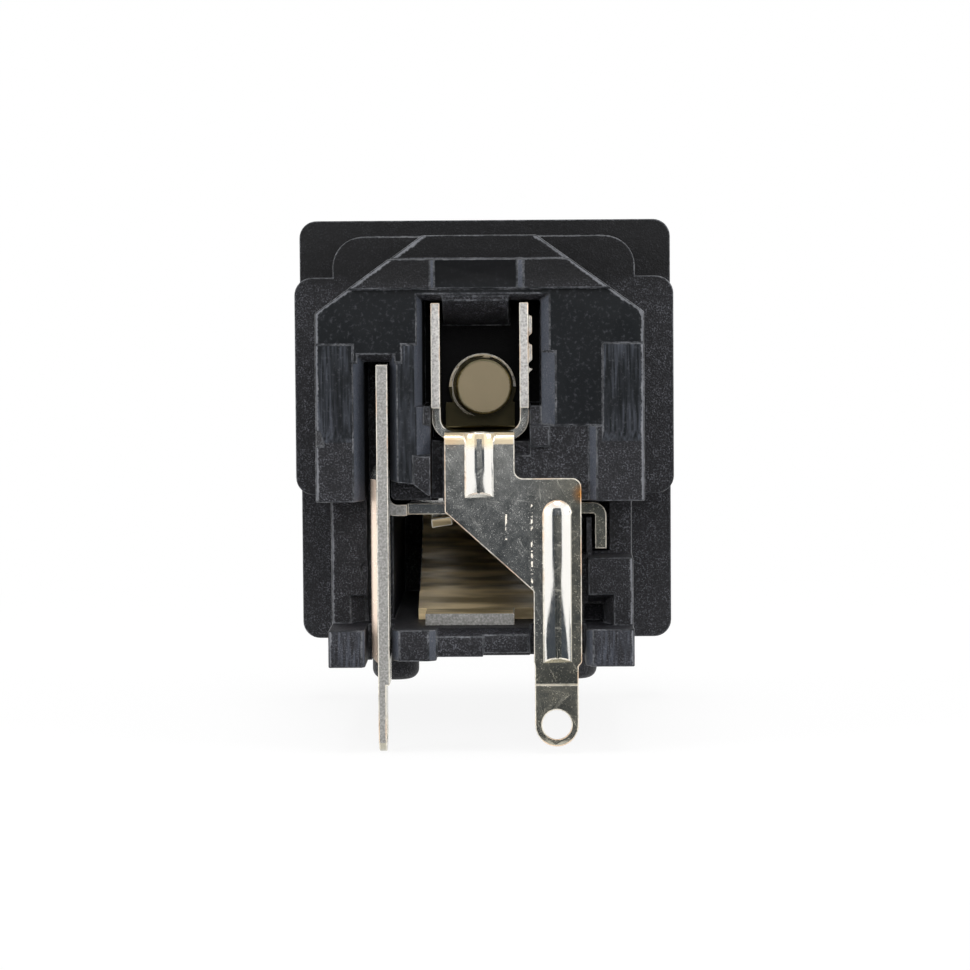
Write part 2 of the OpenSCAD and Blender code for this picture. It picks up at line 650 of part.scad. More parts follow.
module pin_terminal()
    color(NICKEL) in_frame() {
        difference() {
            union() {
                along_y(plate_y, plate_y + pin_sheet) polygon(plate_outline());
                folded_strip();
                intersection() {
                    plate_beads(true);
                    block([-5, -1, -1], [5, plate_y + pin_sheet / 2, clip_bottom + pin_sheet]);
                }
                clip();
                rim();
            }
            plate_beads(false);
            translate([axis_x, tongue_y + 0.1, axis_z]) rotate([90, 0, 0])
                cylinder(h = 1, r = shank_d / 2 + 0.01);
        }
        pin_tail_end();
    }

// ---------------------------------------------------------------- sleeve terminal

// The blade that comes down and turns into the saddle, which ends in a hook.
module saddle() {
    hook_mid = hook_x - sleeve_sheet / 2;
    difference() {
        along_y(saddle_y - eps, saddle_front_y)
            polygon(bent([[-blade_x, blade_top], [-blade_x, saddle_mid, 0.35],
                          [hook_mid, saddle_mid, 0.22], [hook_mid, hook_bottom]], sleeve_sheet));
        block([-2.05, saddle_y - 1, hook_bottom - 1], [hook_x + 1, saddle_back_y, saddle_top + 1]);
    }
}

// The rear strip of the blade, with its bead and its coined tail.
module blade() {
    left = -blade_x - sleeve_sheet / 2;
    right = -blade_x + sleeve_sheet / 2;
    r = bead_r(blade_bead_w, bead_h);
    bead_mid_y = blade_y + blade_strip_w / 2;
    difference() {
        union() {
            block([left, blade_y, crease_z], [right, blade_y + blade_strip_w, blade_top]);
            intersection() {
                translate([left - bead_h + r, bead_mid_y, 0]) rotate([0, 0, -90])
                    bead_bar(0.1, 5.79, r);
                block([left - 1, blade_y, -1], [-blade_x, blade_y + blade_strip_w, 6]);
            }
        }
        translate([left - bead_h + r, bead_mid_y, 0]) rotate([0, 0, -90])
            bead_bar(0.1 + sleeve_sheet, 5.79 - sleeve_sheet, r - sleeve_sheet);
    }
    // coined tail, flush with the outer face
    along_x(left, left + coined_t)
        coined_outline(bead_mid_y, blade_strip_w, sleeve_tail_len, crease_z + 0.02);
}

// Middle line of the hairpin spring in y and z, from the saddle round the nose and back along
// the waves of the lower leaf to its end on the floor.
function spring_path() =
    let (rest = floor_z + seat_gap + sleeve_sheet / 2, rise = crest_z - rest,
         front = spring_end_y - 0.4,
         nose = [front - 0.35, rest + 0.38 * rise], heel = [leaf_start_y, rest], n = 8)
    concat([[saddle_back_y + 0.2, saddle_mid], [barrel_y + 0.5, saddle_mid, 2],
            [front - 2.4, crest_z, 1.4], [front, rest + 0.65 * rise, 0.5],
            [nose[0], nose[1], 0.5]],
           [for (k = [1:n - 1])
               let (p = nose + (heel - nose) * k / n) [p[0], p[1] + (k % 2 == 0 ? 1 : -1) * leaf_wave, 3]],
           [[heel[0], heel[1], 1.5], [1.1, rest]]);

// The short tab that is folded back under the spring's upper leaf.
module leaf_tab()
    translate([-1.11, saddle_back_y + 0.05, saddle_mid - sleeve_sheet - 0.06]) rotate([0, -8, 0]) {
        translate([-0.29, 0, -0.12]) cube([0.58, 1.1, 0.24]);
        translate([-0.29, 0.85, -0.12]) cube([0.58, 0.3, 0.4]);
    }

// Room outside the lower leaf's plan on one side, which is taken off it.
module leaf_trim(side)
    along_z(0, split_z) polygon([
        [side * foot_leaf_w, -1], [side * foot_leaf_w / 2, -1],
        [side * foot_leaf_w / 2, leaf_start_y],
        [side * (foot_leaf_w / 2 + leaf_flare), spring_end_y],
        [side * foot_leaf_w, spring_end_y]]);

module spring() {
    half_w = foot_leaf_w / 2 + leaf_flare;
    difference() {
        along_x(-half_w, half_w) polygon(bent(spring_path(), sleeve_sheet));
        for (side = [-1, 1]) {
            leaf_trim(side);
            translate([side * (leaf_w / 2 + foot_leaf_w / 2), body_len / 2, split_z + 5])
                cube([foot_leaf_w, body_len * 2, 10], center = true);
        }
        // the end on the floor is narrower than the leaf
        block([-foot_leaf_w, -1, 0], [-1.56, leaf_start_y, split_z]);
        block([0.9, -1, 0], [foot_leaf_w, leaf_start_y, split_z]);
    }
    leaf_tab();
}

module sleeve_terminal()
    color(NICKEL) in_frame() {
        saddle();
        blade();
        spring();
    }

housing();
centre_pin();
pin_terminal();
sleeve_terminal();
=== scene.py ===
"""Looks for a right-angle DC power jack: black moulded housing, turned centre pin and two
plated sheet terminals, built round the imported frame. All lengths are in metres."""

from __future__ import annotations

import json
import logging
import math
from dataclasses import dataclass, field
from enum import Enum
from functools import reduce
from typing import Callable, Sequence

import bmesh
import bpy
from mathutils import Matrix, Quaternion, Vector, geometry

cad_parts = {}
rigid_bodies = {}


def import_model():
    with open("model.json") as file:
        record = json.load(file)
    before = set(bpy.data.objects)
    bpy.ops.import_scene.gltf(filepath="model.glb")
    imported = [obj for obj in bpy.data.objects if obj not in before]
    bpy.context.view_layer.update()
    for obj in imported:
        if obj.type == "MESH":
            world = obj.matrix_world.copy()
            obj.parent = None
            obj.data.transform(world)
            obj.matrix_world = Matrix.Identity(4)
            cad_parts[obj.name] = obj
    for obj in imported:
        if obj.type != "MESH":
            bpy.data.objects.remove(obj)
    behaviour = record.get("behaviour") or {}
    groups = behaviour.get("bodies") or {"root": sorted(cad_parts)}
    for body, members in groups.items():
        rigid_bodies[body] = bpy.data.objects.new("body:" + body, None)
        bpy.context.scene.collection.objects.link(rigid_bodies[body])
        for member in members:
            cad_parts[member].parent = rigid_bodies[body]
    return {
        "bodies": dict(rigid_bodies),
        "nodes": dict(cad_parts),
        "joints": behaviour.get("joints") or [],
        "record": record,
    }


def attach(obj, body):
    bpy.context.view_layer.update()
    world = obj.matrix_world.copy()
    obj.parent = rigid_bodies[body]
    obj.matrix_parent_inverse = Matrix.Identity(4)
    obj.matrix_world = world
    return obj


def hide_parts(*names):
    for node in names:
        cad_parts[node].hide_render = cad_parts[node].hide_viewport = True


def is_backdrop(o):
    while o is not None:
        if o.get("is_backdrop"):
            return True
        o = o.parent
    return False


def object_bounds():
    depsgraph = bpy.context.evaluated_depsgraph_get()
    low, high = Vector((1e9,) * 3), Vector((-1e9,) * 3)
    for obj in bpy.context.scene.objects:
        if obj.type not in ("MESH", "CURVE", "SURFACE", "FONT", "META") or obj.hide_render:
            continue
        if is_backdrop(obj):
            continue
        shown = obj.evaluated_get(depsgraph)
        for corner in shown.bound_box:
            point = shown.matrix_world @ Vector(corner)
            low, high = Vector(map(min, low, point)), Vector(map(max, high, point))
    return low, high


LOG = logging.getLogger("dc_jack")
MM = 0.001
PIN_X, PIN_Z = 0.1 * MM, 7.65 * MM
LOOKS_REAR = -0.9
Colour = tuple[float, float, float]


# ------------------------------------------------------------------ shader building blocks


class Sockets(Enum):
    """Socket types for the inputs and outputs of a shader group."""

    VALUE = "NodeSocketFloat"
    VECTOR = "NodeSocketVector"


class NodeTree:
    """A thin hand on a node tree, which adds nodes and joins them."""

    def __init__(self, tree: bpy.types.NodeTree) -> None:
        """Take hold of a node tree."""
        self.tree = tree

    def add(self, kind: str, **settings: object) -> bpy.types.Node:
        """Add one node.

        Args:
            kind: identifier of the node type.
            settings: properties to set on the node.

        Returns:
            The new node.
        """
        node = self.tree.nodes.new(kind)
        for name, value in settings.items():
            setattr(node, name, value)
        return node

    def feed(self, node: bpy.types.Node, socket: str | int, source: object) -> None:
        """Give an input a constant or join it to another node's output."""
        target = node.inputs[socket]
        if isinstance(source, bpy.types.NodeSocket):
            self.tree.links.new(source, target)
        else:
            target.default_value = source

    def math(self, operation: str, first: object, second: object = 0.0,
             clamp: bool = False) -> bpy.types.NodeSocket:
        """Join two values with one arithmetic operation.

        Returns:
            The result's socket.
        """
        node = self.add("ShaderNodeMath", operation=operation, use_clamp=clamp)
        self.feed(node, 0, first)
        self.feed(node, 1, second)
        return node.outputs[0]

    def times(self, first: object, second: object, clamp: bool = False) -> bpy.types.NodeSocket:
        """Multiply two values.

        Returns:
            The product's socket.
        """
        return self.math("MULTIPLY", first, second, clamp)

    def plus(self, *sources: object) -> bpy.types.NodeSocket:
        """Add up values in their order.

        Returns:
            The sum's socket.
        """
        return reduce(lambda total, source: self.math("ADD", total, source), sources)

    def most(self, *sources: object) -> bpy.types.NodeSocket:
        """Keep the largest of some values.

        Returns:
            Its socket.
        """
        return reduce(lambda best, source: self.math("MAXIMUM", best, source), sources)

    def axes(self, place: object) -> bpy.types.NodeOutputs:
        """Split a place into X, Y and Z.

        Returns:
            Their sockets, by name.
        """
        node = self.add("ShaderNodeSeparateXYZ")
        self.feed(node, 0, place)
        return node.outputs

    def layers(self, colour: object, *coats: tuple[object, object]) -> bpy.types.NodeSocket:
        """Lay coats over a colour, each given by its factor and its own colour.

        Returns:
            The last mix's socket.
        """
        for factor, coat in coats:
            colour = self.blend(factor, colour, coat)
        return colour

    def blend(self, factor: object, first: object, second: object) -> bpy.types.NodeSocket:
        """Mix two colours.

        Returns:
            The mixed colour's socket.
        """
        node = self.add("ShaderNodeMix", data_type="RGBA", blend_type="MIX")
        self.feed(node, 0, factor)
        for index, source in ((6, first), (7, second)):
            if isinstance(source, tuple):
                source = (*source, 1.0)
            self.feed(node, index, source)
        return node.outputs[2]

    def ramp(self, source: object, low: float, high: float) -> bpy.types.NodeSocket:
        """Stretch a value so that low becomes 0 and high becomes 1.

        Returns:
            The stretched value's socket.
        """
        node = self.add("ShaderNodeMapRange", clamp=True)
        self.feed(node, 0, source)
        self.feed(node, 1, low)
        self.feed(node, 2, high)
        return node.outputs[0]

    def noise(self, place: object, scale: object, detail: float = 2.0,
              roughness: float = 0.5) -> bpy.types.NodeSocket:
        """A noise value at a place.

        Returns:
            The noise value's socket, from 0 to 1.
        """
        node = self.add("ShaderNodeTexNoise")
        self.feed(node, "Vector", place)
        self.feed(node, "Scale", scale)
        self.feed(node, "Detail", detail)
        self.feed(node, "Roughness", roughness)
        return node.outputs["Fac"]

    def stretch(self, place: object, scale: Sequence[float],
                turn: Sequence[float] = (0.0, 0.0, 0.0)) -> bpy.types.NodeSocket:
        """Turn a pattern's coordinates, then scale them.

        Returns:
            The mapped place's socket.
        """
        turned = self.add("ShaderNodeMapping")
        self.feed(turned, "Vector", place)
        self.feed(turned, "Rotation", tuple(math.radians(a) for a in turn))
        node = self.add("ShaderNodeMapping")
        self.feed(node, "Vector", turned.outputs[0])
        self.feed(node, "Scale", tuple(scale))
        return node.outputs[0]

    def attribute(self, name: str) -> bpy.types.NodeSocket:
        """Read a face attribute of the piece.

        Returns:
            Its value's socket.
        """
        return self.add("ShaderNodeAttribute", attribute_name=name).outputs["Fac"]


def empty_tree(owner: bpy.types.Material | bpy.types.World) -> NodeTree:
    """Give a material or a world a node tree with nothing in it.

    Returns:
        The tree.
    """
    owner.use_nodes = True
    owner.node_tree.nodes.clear()
    return NodeTree(owner.node_tree)


class ShaderGroup:
    """Base of the effects that several finishes share. Each is built once, then placed."""

    title = ""
    inputs: dict[str, tuple[Sockets, object]] = {}
    outputs: dict[str, Sockets] = {}

    @classmethod
    def tree(cls) -> bpy.types.NodeTree:
        """Build the group on first use.

        Returns:
            The group's node tree.
        """
        found = bpy.data.node_groups.get(cls.title)
        if found:
            return found
        group = bpy.data.node_groups.new(cls.title, "ShaderNodeTree")
        for name, (kind, value) in cls.inputs.items():
            socket = group.interface.new_socket(name, in_out="INPUT", socket_type=kind.value)
            if value is not None:
                socket.default_value = value
        for name, kind in cls.outputs.items():
            group.interface.new_socket(name, in_out="OUTPUT", socket_type=kind.value)
        tree = NodeTree(group)
        entry = tree.add("NodeGroupInput")
        leave = tree.add("NodeGroupOutput")
        cls.fill(tree, entry, leave)
        return group

    @classmethod
    def fill(cls, tree: NodeTree, entry: bpy.types.Node, leave: bpy.types.Node) -> None:
        """Add the group's own nodes between its entry and its output."""
        raise NotImplementedError

    @classmethod
    def place(cls, tree: NodeTree, **values: object) -> bpy.types.Node:
        """Place the group in a material.

        Args:
            tree: the material's tree.
            values: a source for each named input, with _ for a space.

        Returns:
            The group node.
        """
        node = tree.add("ShaderNodeGroup", node_tree=cls.tree())
        for name, value in values.items():
            tree.feed(node, name.replace("_", " "), value)
        return node


class ErodedGrain(ShaderGroup):
    """Fine pitted grain that a spark-eroded tool leaves on a moulding."""

    title = "Eroded grain"
    inputs = {"Place": (Sockets.VECTOR, None), "Size": (Sockets.VALUE, 20000.0),
              "Amount": (Sockets.VALUE, 1.0)}
    outputs = {"Specks": Sockets.VALUE, "Height": Sockets.VALUE}

    @classmethod
    def fill(cls, tree: NodeTree, entry: bpy.types.Node, leave: bpy.types.Node) -> None:
        """Fine and coarse pits, and the light specks on their rims."""
        place, size, amount = (entry.outputs[i] for i in range(3))
        fine = tree.noise(place, size, detail=2.0, roughness=0.6)
        coarse = tree.noise(place, tree.times(size, 0.16), detail=2.0)
        sparse = tree.ramp(fine, 0.5, 0.72)
        patch = tree.plus(0.3, tree.ramp(coarse, 0.36, 0.66))
        height = tree.plus(fine, tree.times(coarse, 0.6))
        specks = tree.times(sparse, patch)
        tree.feed(leave, "Specks", tree.times(specks, amount, clamp=True))
        tree.feed(leave, "Height", tree.times(height, amount))


class EdgeWearAndHighlight(ShaderGroup):
    """Broken-up wear on the faces that break a piece's edges; the finishes also use it for a
    painted highlight along them, and on the pin for painted glints.
    """

    title = "Edge wear and highlight"
    inputs = {"Place": (Sockets.VECTOR, None), "Edge": (Sockets.VALUE, 0.0),
              "Size": (Sockets.VALUE, 2500.0), "Least": (Sockets.VALUE, 0.3),
              "Amount": (Sockets.VALUE, 1.0)}
    outputs = {"Wear": Sockets.VALUE}

    @classmethod
    def fill(cls, tree: NodeTree, entry: bpy.types.Node, leave: bpy.types.Node) -> None:
        """Uneven wear, strongest where two sizes of noise meet."""
        place, edge, size, least, amount = (entry.outputs[i] for i in range(5))
        patches = tree.ramp(tree.noise(place, size, detail=4.0, roughness=0.65), 0.36, 0.62)
        nicks = tree.ramp(tree.noise(place, tree.times(size, 6.0), detail=1.0), 0.3, 0.6)
        wear_and_glint = tree.times(edge, tree.plus(least, tree.times(patches, nicks)))
        tree.feed(leave, "Wear", tree.times(wear_and_glint, amount, clamp=True))


class DrawnStreaks(ShaderGroup):
    """Fine parallel streaks, long in Z, left by a polished tool or by sliding."""

    title = "Drawn streaks"
    inputs = {"Place": (Sockets.VECTOR, None), "Amount": (Sockets.VALUE, 1.0)}
    outputs = {"Streaks": Sockets.VALUE}

    @classmethod
    def fill(cls, tree: NodeTree, entry: bpy.types.Node, leave: bpy.types.Node) -> None:
        """Long thin noise in two widths."""
        place, amount = (entry.outputs[i] for i in range(2))
        fine = tree.noise(tree.stretch(place, (1.0, 1.0, 0.07)), 15000.0, detail=2.0)
        wide = tree.noise(tree.stretch(place, (1.0, 1.0, 0.3)), 2600.0, detail=2.0)
        both = tree.times(tree.ramp(fine, 0.36, 0.7), tree.ramp(wide, 0.3, 0.62))
        tree.feed(leave, "Streaks", tree.times(both, amount, clamp=True))


class FineScratches(ShaderGroup):
    """Short hair scratches in four directions, with small flecks between them."""

    title = "Fine scratches"
    inputs = {"Place": (Sockets.VECTOR, None), "Amount": (Sockets.VALUE, 1.0)}
    outputs = {"Scratches": Sockets.VALUE}
    # The turn of each set about Y in degrees, and the scale of its noise.
    sets = ((28.0, 15200.0), (-52.0, 13100.0), (6.0, 16300.0), (80.0, 12300.0))

    @classmethod
    def fill(cls, tree: NodeTree, entry: bpy.types.Node, leave: bpy.types.Node) -> None:
        """Sets of stretched noise, each cut to thin lines, and fine noise cut to flecks."""
        place, amount = (entry.outputs[i] for i in range(2))
        lines = []
        for turn, scale in cls.sets:
            slid = tree.stretch(place, (1.0, 1.0, 0.1), (0.0, turn, 0.0))
            lines.append(tree.ramp(tree.noise(slid, scale, detail=1.0), 0.66, 0.8))
        flecks = tree.ramp(tree.noise(place, 24000.0, detail=2.0, roughness=0.6), 0.58, 0.76)
        both = tree.most(tree.times(tree.most(*lines), 0.6), flecks)
        tree.feed(leave, "Scratches", tree.times(both, amount, clamp=True))


class ScribedDots(ShaderGroup):
    """A line of pricked dots up a sheet, where a stamping tool touched it."""

    title = "Scribed dots"
    inputs = {"Place": (Sockets.VECTOR, None), "Across": (Sockets.VALUE, 0.0),
              "Low": (Sockets.VALUE, 0.0), "High": (Sockets.VALUE, 1.0)}
    outputs = {"Dots": Sockets.VALUE}

    @classmethod
    def fill(cls, tree: NodeTree, entry: bpy.types.Node, leave: bpy.types.Node) -> None:
        """A thin upright line between two heights, broken by noise."""
        place, across, low, high = (entry.outputs[i] for i in range(4))
        axes = tree.axes(place)
        off = tree.math("ABSOLUTE", tree.math("SUBTRACT", axes["X"], across))
        line = tree.ramp(off, 0.034 * MM, 0.016 * MM)
        inside = tree.times(tree.math("GREATER_THAN", axes["Z"], low),
                            tree.math("LESS_THAN", axes["Z"], high))
        dots = tree.ramp(tree.noise(place, 13000.0, detail=1.0), 0.49, 0.58)
        tree.feed(leave, "Dots", tree.times(tree.times(line, inside), dots))


class Stain(ShaderGroup):
    """A soft round stain about a centre."""

    title = "Stain"
    inputs = {"Place": (Sockets.VECTOR, None), "Centre": (Sockets.VECTOR, None),
              "Radius": (Sockets.VALUE, 0.001)}
    outputs = {"Stain": Sockets.VALUE}

    @classmethod
    def fill(cls, tree: NodeTree, entry: bpy.types.Node, leave: bpy.types.Node) -> None:
        """Falls away evenly from the centre to the radius."""
        gap = tree.add("ShaderNodeVectorMath", operation="DISTANCE")
        tree.feed(gap, 0, entry.outputs[0])
        tree.feed(gap, 1, entry.outputs[1])
        share = tree.math("DIVIDE", gap.outputs["Value"], entry.outputs[2])
        tree.feed(leave, "Stain", tree.math("SUBTRACT", 1.0, share, clamp=True))


# ------------------------------------------------------------------ finishes


@dataclass(frozen=True)
class Finish:
    """A surface finish that can dress a piece."""

    title: str
    slot: str

    def material(self) -> bpy.types.Material:
        """Make the finish's material, or find it.

        Returns:
            The material.
        """
        found = bpy.data.materials.get(self.title)
        if found:
            return found
        material = bpy.data.materials.new(self.title)
        tree = empty_tree(material)
        shader = tree.add("ShaderNodeBsdfPrincipled")
        tree.feed(tree.add("ShaderNodeOutputMaterial"), "Surface", shader.outputs[0])
        self.shade(tree, shader, tree.add("ShaderNodeTexCoord").outputs["Object"])
        return material

    def shade(self, tree: NodeTree, shader: bpy.types.Node,
              place: bpy.types.NodeSocket) -> None:
        """Feed the shader from the finish's patterns."""
        raise NotImplementedError

    def bump(self, tree: NodeTree, shader: bpy.types.Node, height: bpy.types.NodeSocket,
             distance: float) -> None:
        """Give the shader a bump of this depth in metres."""
        node = tree.add("ShaderNodeBump")
        tree.feed(node, "Strength", 1.0)
        tree.feed(node, "Distance", distance)
        tree.feed(node, "Height", height)
        tree.feed(shader, "Normal", node.outputs[0])


@dataclass(frozen=True)
class BlackMoulding(Finish):
    """Black glass-filled moulding: eroded grain, smooth drawn panels, pale worn flash that is
    partly a painted edge highlight, a painted sheen on sloping walls and painted shade deep
    inside and at the top.
    """

    title: str = "Black moulding"
    slot: str = "black_moulding"
    body: Colour = (0.0078, 0.0078, 0.0098)
    speck: Colour = (0.088, 0.09, 0.105)
    polished: Colour = (0.0042, 0.0056, 0.0072)
    streak: Colour = (0.066, 0.074, 0.096)
    # painted highlight: a lit bluish sheen laid on the sloping walls of the slots and the
    # channel
    painted_sheen: Colour = (0.052, 0.06, 0.078)
    # painted shade with a warm painted reflection of the metal, for the walls close to the
    # terminals
    shaded: Colour = (0.03, 0.018, 0.008)
    # painted shade: near black for the chamber's end and the upper rear faces
    painted_deep_shade: Colour = (0.0015, 0.0015, 0.002)
    # partly real pale flash and wear, partly a painted highlight along the edges
    flash_and_highlight: Colour = (0.15, 0.155, 0.17)
    grain_size: float = 21000.0

    def shade(self, tree: NodeTree, shader: bpy.types.Node,
              place: bpy.types.NodeSocket) -> None:
        """Dress the moulding by its face attributes."""
        grained, streaked, deep, rearward = (
            tree.attribute(name) for name in ("grained", "streaked", "deep", "rearward"))
        grain = ErodedGrain.place(tree, Place=place, Size=self.grain_size, Amount=grained)
        streaks = DrawnStreaks.place(tree, Place=place, Amount=streaked).outputs[0]
        wear_and_highlight = EdgeWearAndHighlight.place(tree, Place=place, Edge=tree.attribute("edge"),
                               Size=2100.0, Least=0.08, Amount=0.65).outputs[0]
        dust = tree.ramp(tree.noise(place, 9000.0, detail=3.0, roughness=0.7), 0.55, 0.8)
        # painted shade: the rear faces darken towards the top
        painted_top_shade = tree.times(tree.ramp(tree.axes(place)["Z"], 10.2 * MM, 10.7 * MM), rearward)
        tree.feed(shader, "Base Color", tree.layers(
            tree.blend(grained, self.polished, self.body),
            # painted highlight on the sloping walls
            (tree.times(tree.attribute("sloped"), 0.8), self.painted_sheen),
            (tree.times(streaks, 0.7), self.streak),
            # painted shade and painted metal reflection on the walls close to the metal
            (tree.attribute("enclosed"), self.shaded),
            (tree.times(grain.outputs["Specks"], 0.95), self.speck),
            (tree.times(dust, 0.45), self.speck),
            # painted shade on the chamber's end and on the upper rear faces
            (tree.most(tree.times(painted_top_shade, 0.8), deep), self.painted_deep_shade),
            (wear_and_highlight, self.flash_and_highlight),
            (self.jagged(tree, place), self.flash_and_highlight)))
        tree.feed(shader, "Roughness", tree.plus(
            0.38, tree.times(grained, 0.14), tree.times(streaks, 0.1), tree.times(deep, 0.4)))
        tree.feed(shader, "Specular IOR Level", 0.28)
        height = tree.plus(grain.outputs["Height"], tree.times(streaks, 0.3))
        self.bump(tree, shader, height, 0.02 * MM)

    def jagged(self, tree: NodeTree, place: bpy.types.NodeSocket) -> bpy.types.NodeSocket:
        """The torn flash along the outline, whose width wanders; its pale colour is partly real
        flash and partly a painted highlight on the edge.

        Returns:
            The flash's mask.
        """
        rim = tree.attribute("rim")
        slow = tree.noise(place, 1500.0, detail=3.0, roughness=0.6)
        torn = tree.noise(place, 14000.0, detail=2.0)
        wander = tree.plus(tree.times(slow, 0.9), tree.times(torn, 0.8))
        raised = tree.math("SUBTRACT", tree.plus(rim, wander), 0.85)
        inside = tree.times(tree.ramp(raised, 0.42, 0.68),
                            tree.math("GREATER_THAN", rim, 0.0))
        return tree.times(inside, tree.plus(0.3, slow), clamp=True)


@dataclass(frozen=True)
class PlatedSheet(Finish):
    """Nickel plate on brass sheet: mottled and scratched faces, pitted cut edges, and brass
    that shows where the plate is thin. Beads, folds and edges get painted highlights, faces
    deep in the housing get painted shade, and the blade's outer side a painted reflection.

    dot_lines gives each line of dots by its X and its lowest and highest Z; stains gives each
    stain by its centre, its radius and its strength. Both are in millimetres.
    """

    title: str = "Plated sheet"
    slot: str = "plated_sheet"
    plate: Colour = (0.62, 0.615, 0.58)
    dull: Colour = (0.45, 0.45, 0.42)
    olive: Colour = (0.52, 0.49, 0.39)
    cut: Colour = (0.4, 0.39, 0.38)
    pit: Colour = (0.2, 0.19, 0.18)
    bright: Colour = (0.6, 0.58, 0.55)
    # painted highlight on the beads and the fold
    ridge_highlight: Colour = (0.97, 0.95, 0.9)
    leaf: Colour = (0.84, 0.67, 0.4)
    # painted shade: the darker bands across the spring's leaves
    painted_band_shade: Colour = (0.3, 0.23, 0.12)
    # painted warm highlight along the fold
    fold_highlight: Colour = (0.9, 0.75, 0.52)
    # painted shade for faces deep inside the housing
    shaded: Colour = (0.14, 0.115, 0.06)
    # painted reflection: the warm light seen on the blade's outer side
    reflection_glow: Colour = (0.95, 0.76, 0.62)
    rim: Colour = (0.95, 0.88, 0.76)
    amber: Colour = (0.8, 0.36, 0.1)
    dot_lines: tuple[tuple[float, ...], ...] = ((1.4, 2.1, 4.5), (0.7, 3.5, 4.2))
    stains: tuple[tuple[Colour, float, float], ...] = (
        ((2.8, -6.0, 4.75), 0.33, 1.4), ((2.05, -6.12, 4.55), 0.2, 0.7),
        ((-0.8, -6.0, 6.28), 0.35, 0.35))

    def shade(self, tree: NodeTree, shader: bpy.types.Node,
              place: bpy.types.NodeSocket) -> None:
        """Dress the sheet by its face attributes."""
        cut, leaf, shaded, painted_reflection, ridge_highlight, edge = (
            tree.attribute(name) for name in ("cut", "leaf", "shaded", "painted_reflection", "ridge_highlight",
                                              "edge"))
        mottle = tree.noise(place, 3600.0, detail=4.0, roughness=0.65)
        fine = tree.noise(place, 17000.0, detail=2.0)
        pits, peaks = tree.ramp(fine, 0.5, 0.24), tree.ramp(fine, 0.5, 0.8)
        # painted shade in soft bands across the spring's leaves
        painted_bands = tree.noise(tree.stretch(place, (0.12, 0.3, 1.0)), 3400.0, detail=2.0)
        plain = tree.math("SUBTRACT", 1.0, tree.most(cut, shaded, leaf, ridge_highlight))
        scratches = FineScratches.place(tree, Place=place, Amount=plain).outputs[0]
        wear_and_highlight = EdgeWearAndHighlight.place(tree, Place=place, Edge=edge, Size=1500.0, Least=0.65,
                               Amount=1.0).outputs[0]
        dots = tree.most(*(
            ScribedDots.place(tree, Place=place, Across=across * MM, Low=low * MM,
                              High=high * MM).outputs[0]
            for across, low, high in self.dot_lines))
        height = tree.axes(place)["Z"]
        upper = tree.ramp(height, 5.95 * MM, 6.15 * MM)
        haze = tree.ramp(height, 4.3 * MM, 5.8 * MM)
        tree.feed(shader, "Base Color", tree.layers(
            tree.blend(tree.ramp(mottle, 0.34, 0.66), self.dull, self.plate),
            (self.tarnish(tree, place, mottle), self.olive),
            # painted highlight on the beads, the fold and the upper half of the pin's ring
            (ridge_highlight, tree.blend(upper, self.ridge_highlight, self.fold_highlight)),
            (leaf, tree.blend(tree.ramp(painted_bands, 0.4, 0.6), self.painted_band_shade, self.leaf)),
            # painted shade on faces deep inside the housing
            (shaded, self.shaded),
            (cut, self.cut),
            (tree.times(pits, cut), self.pit),
            (tree.times(peaks, cut), self.bright),
            # painted warm reflection on the blade's outer side
            (painted_reflection, self.reflection_glow),
            # partly real wear, partly a painted highlight along the sheet's edges
            (tree.times(wear_and_highlight, 0.65), self.rim),
            (self.brassy(tree, place, edge), self.amber),
            (dots, self.rim)))
        worked = ((dots, 0.85), (cut, 0.85), (wear_and_highlight, 0.7), (leaf, 0.85), (painted_reflection, 0.6),
                  (tree.times(upper, ridge_highlight), 0.5))
        scattered = tree.most(
            tree.plus(tree.times(scratches, 0.26), tree.times(tree.times(haze, plain), 0.14)),
            *(tree.times(source, share) for source, share in worked))
        tree.feed(shader, "Metallic", tree.math("SUBTRACT", 1.0, scattered, clamp=True))
        uneven = ((tree.ramp(mottle, 0.3, 0.7), 0.1), (cut, 0.25), (scratches, 0.12),
                  (leaf, 0.2), (ridge_highlight, -0.08))
        tree.feed(shader, "Roughness", tree.plus(
            0.15, *(tree.times(source, share) for source, share in uneven)))
        waves = tree.times(mottle, tree.times(plain, 0.5))
        relief = tree.plus(tree.times(fine, cut), waves, tree.times(scratches, -0.25))
        self.bump(tree, shader, relief, 0.006 * MM)

    def tarnish(self, tree: NodeTree, place: bpy.types.NodeSocket,
                mottle: bpy.types.NodeSocket) -> bpy.types.NodeSocket:
        """The olive cast that grows towards the strip and the tail.

        Returns:
            Its mask.
        """
        axes = tree.axes(place)
        cast = tree.most(tree.ramp(axes["X"], 1.2 * MM, 2.6 * MM),
                         tree.ramp(axes["Z"], 1.2 * MM, 0.0))
        return tree.times(cast, tree.plus(0.35, mottle), clamp=True)

    def brassy(self, tree: NodeTree, place: bpy.types.NodeSocket,
               edge: bpy.types.NodeSocket) -> bpy.types.NodeSocket:
        """Amber where the plate is thinnest: some edges, and the small stains.

        Returns:
            Its mask.
        """
        thin = tree.ramp(tree.noise(place, 1100.0, detail=2.0), 0.54, 0.66)
        mask = tree.times(tree.times(thin, edge), 0.35)
        for centre, radius, amount in self.stains:
            stain = Stain.place(tree, Place=place, Centre=tuple(v * MM for v in centre),
                                Radius=radius * MM).outputs[0]
            mask = tree.most(mask, tree.times(stain, amount, clamp=True))
        return mask


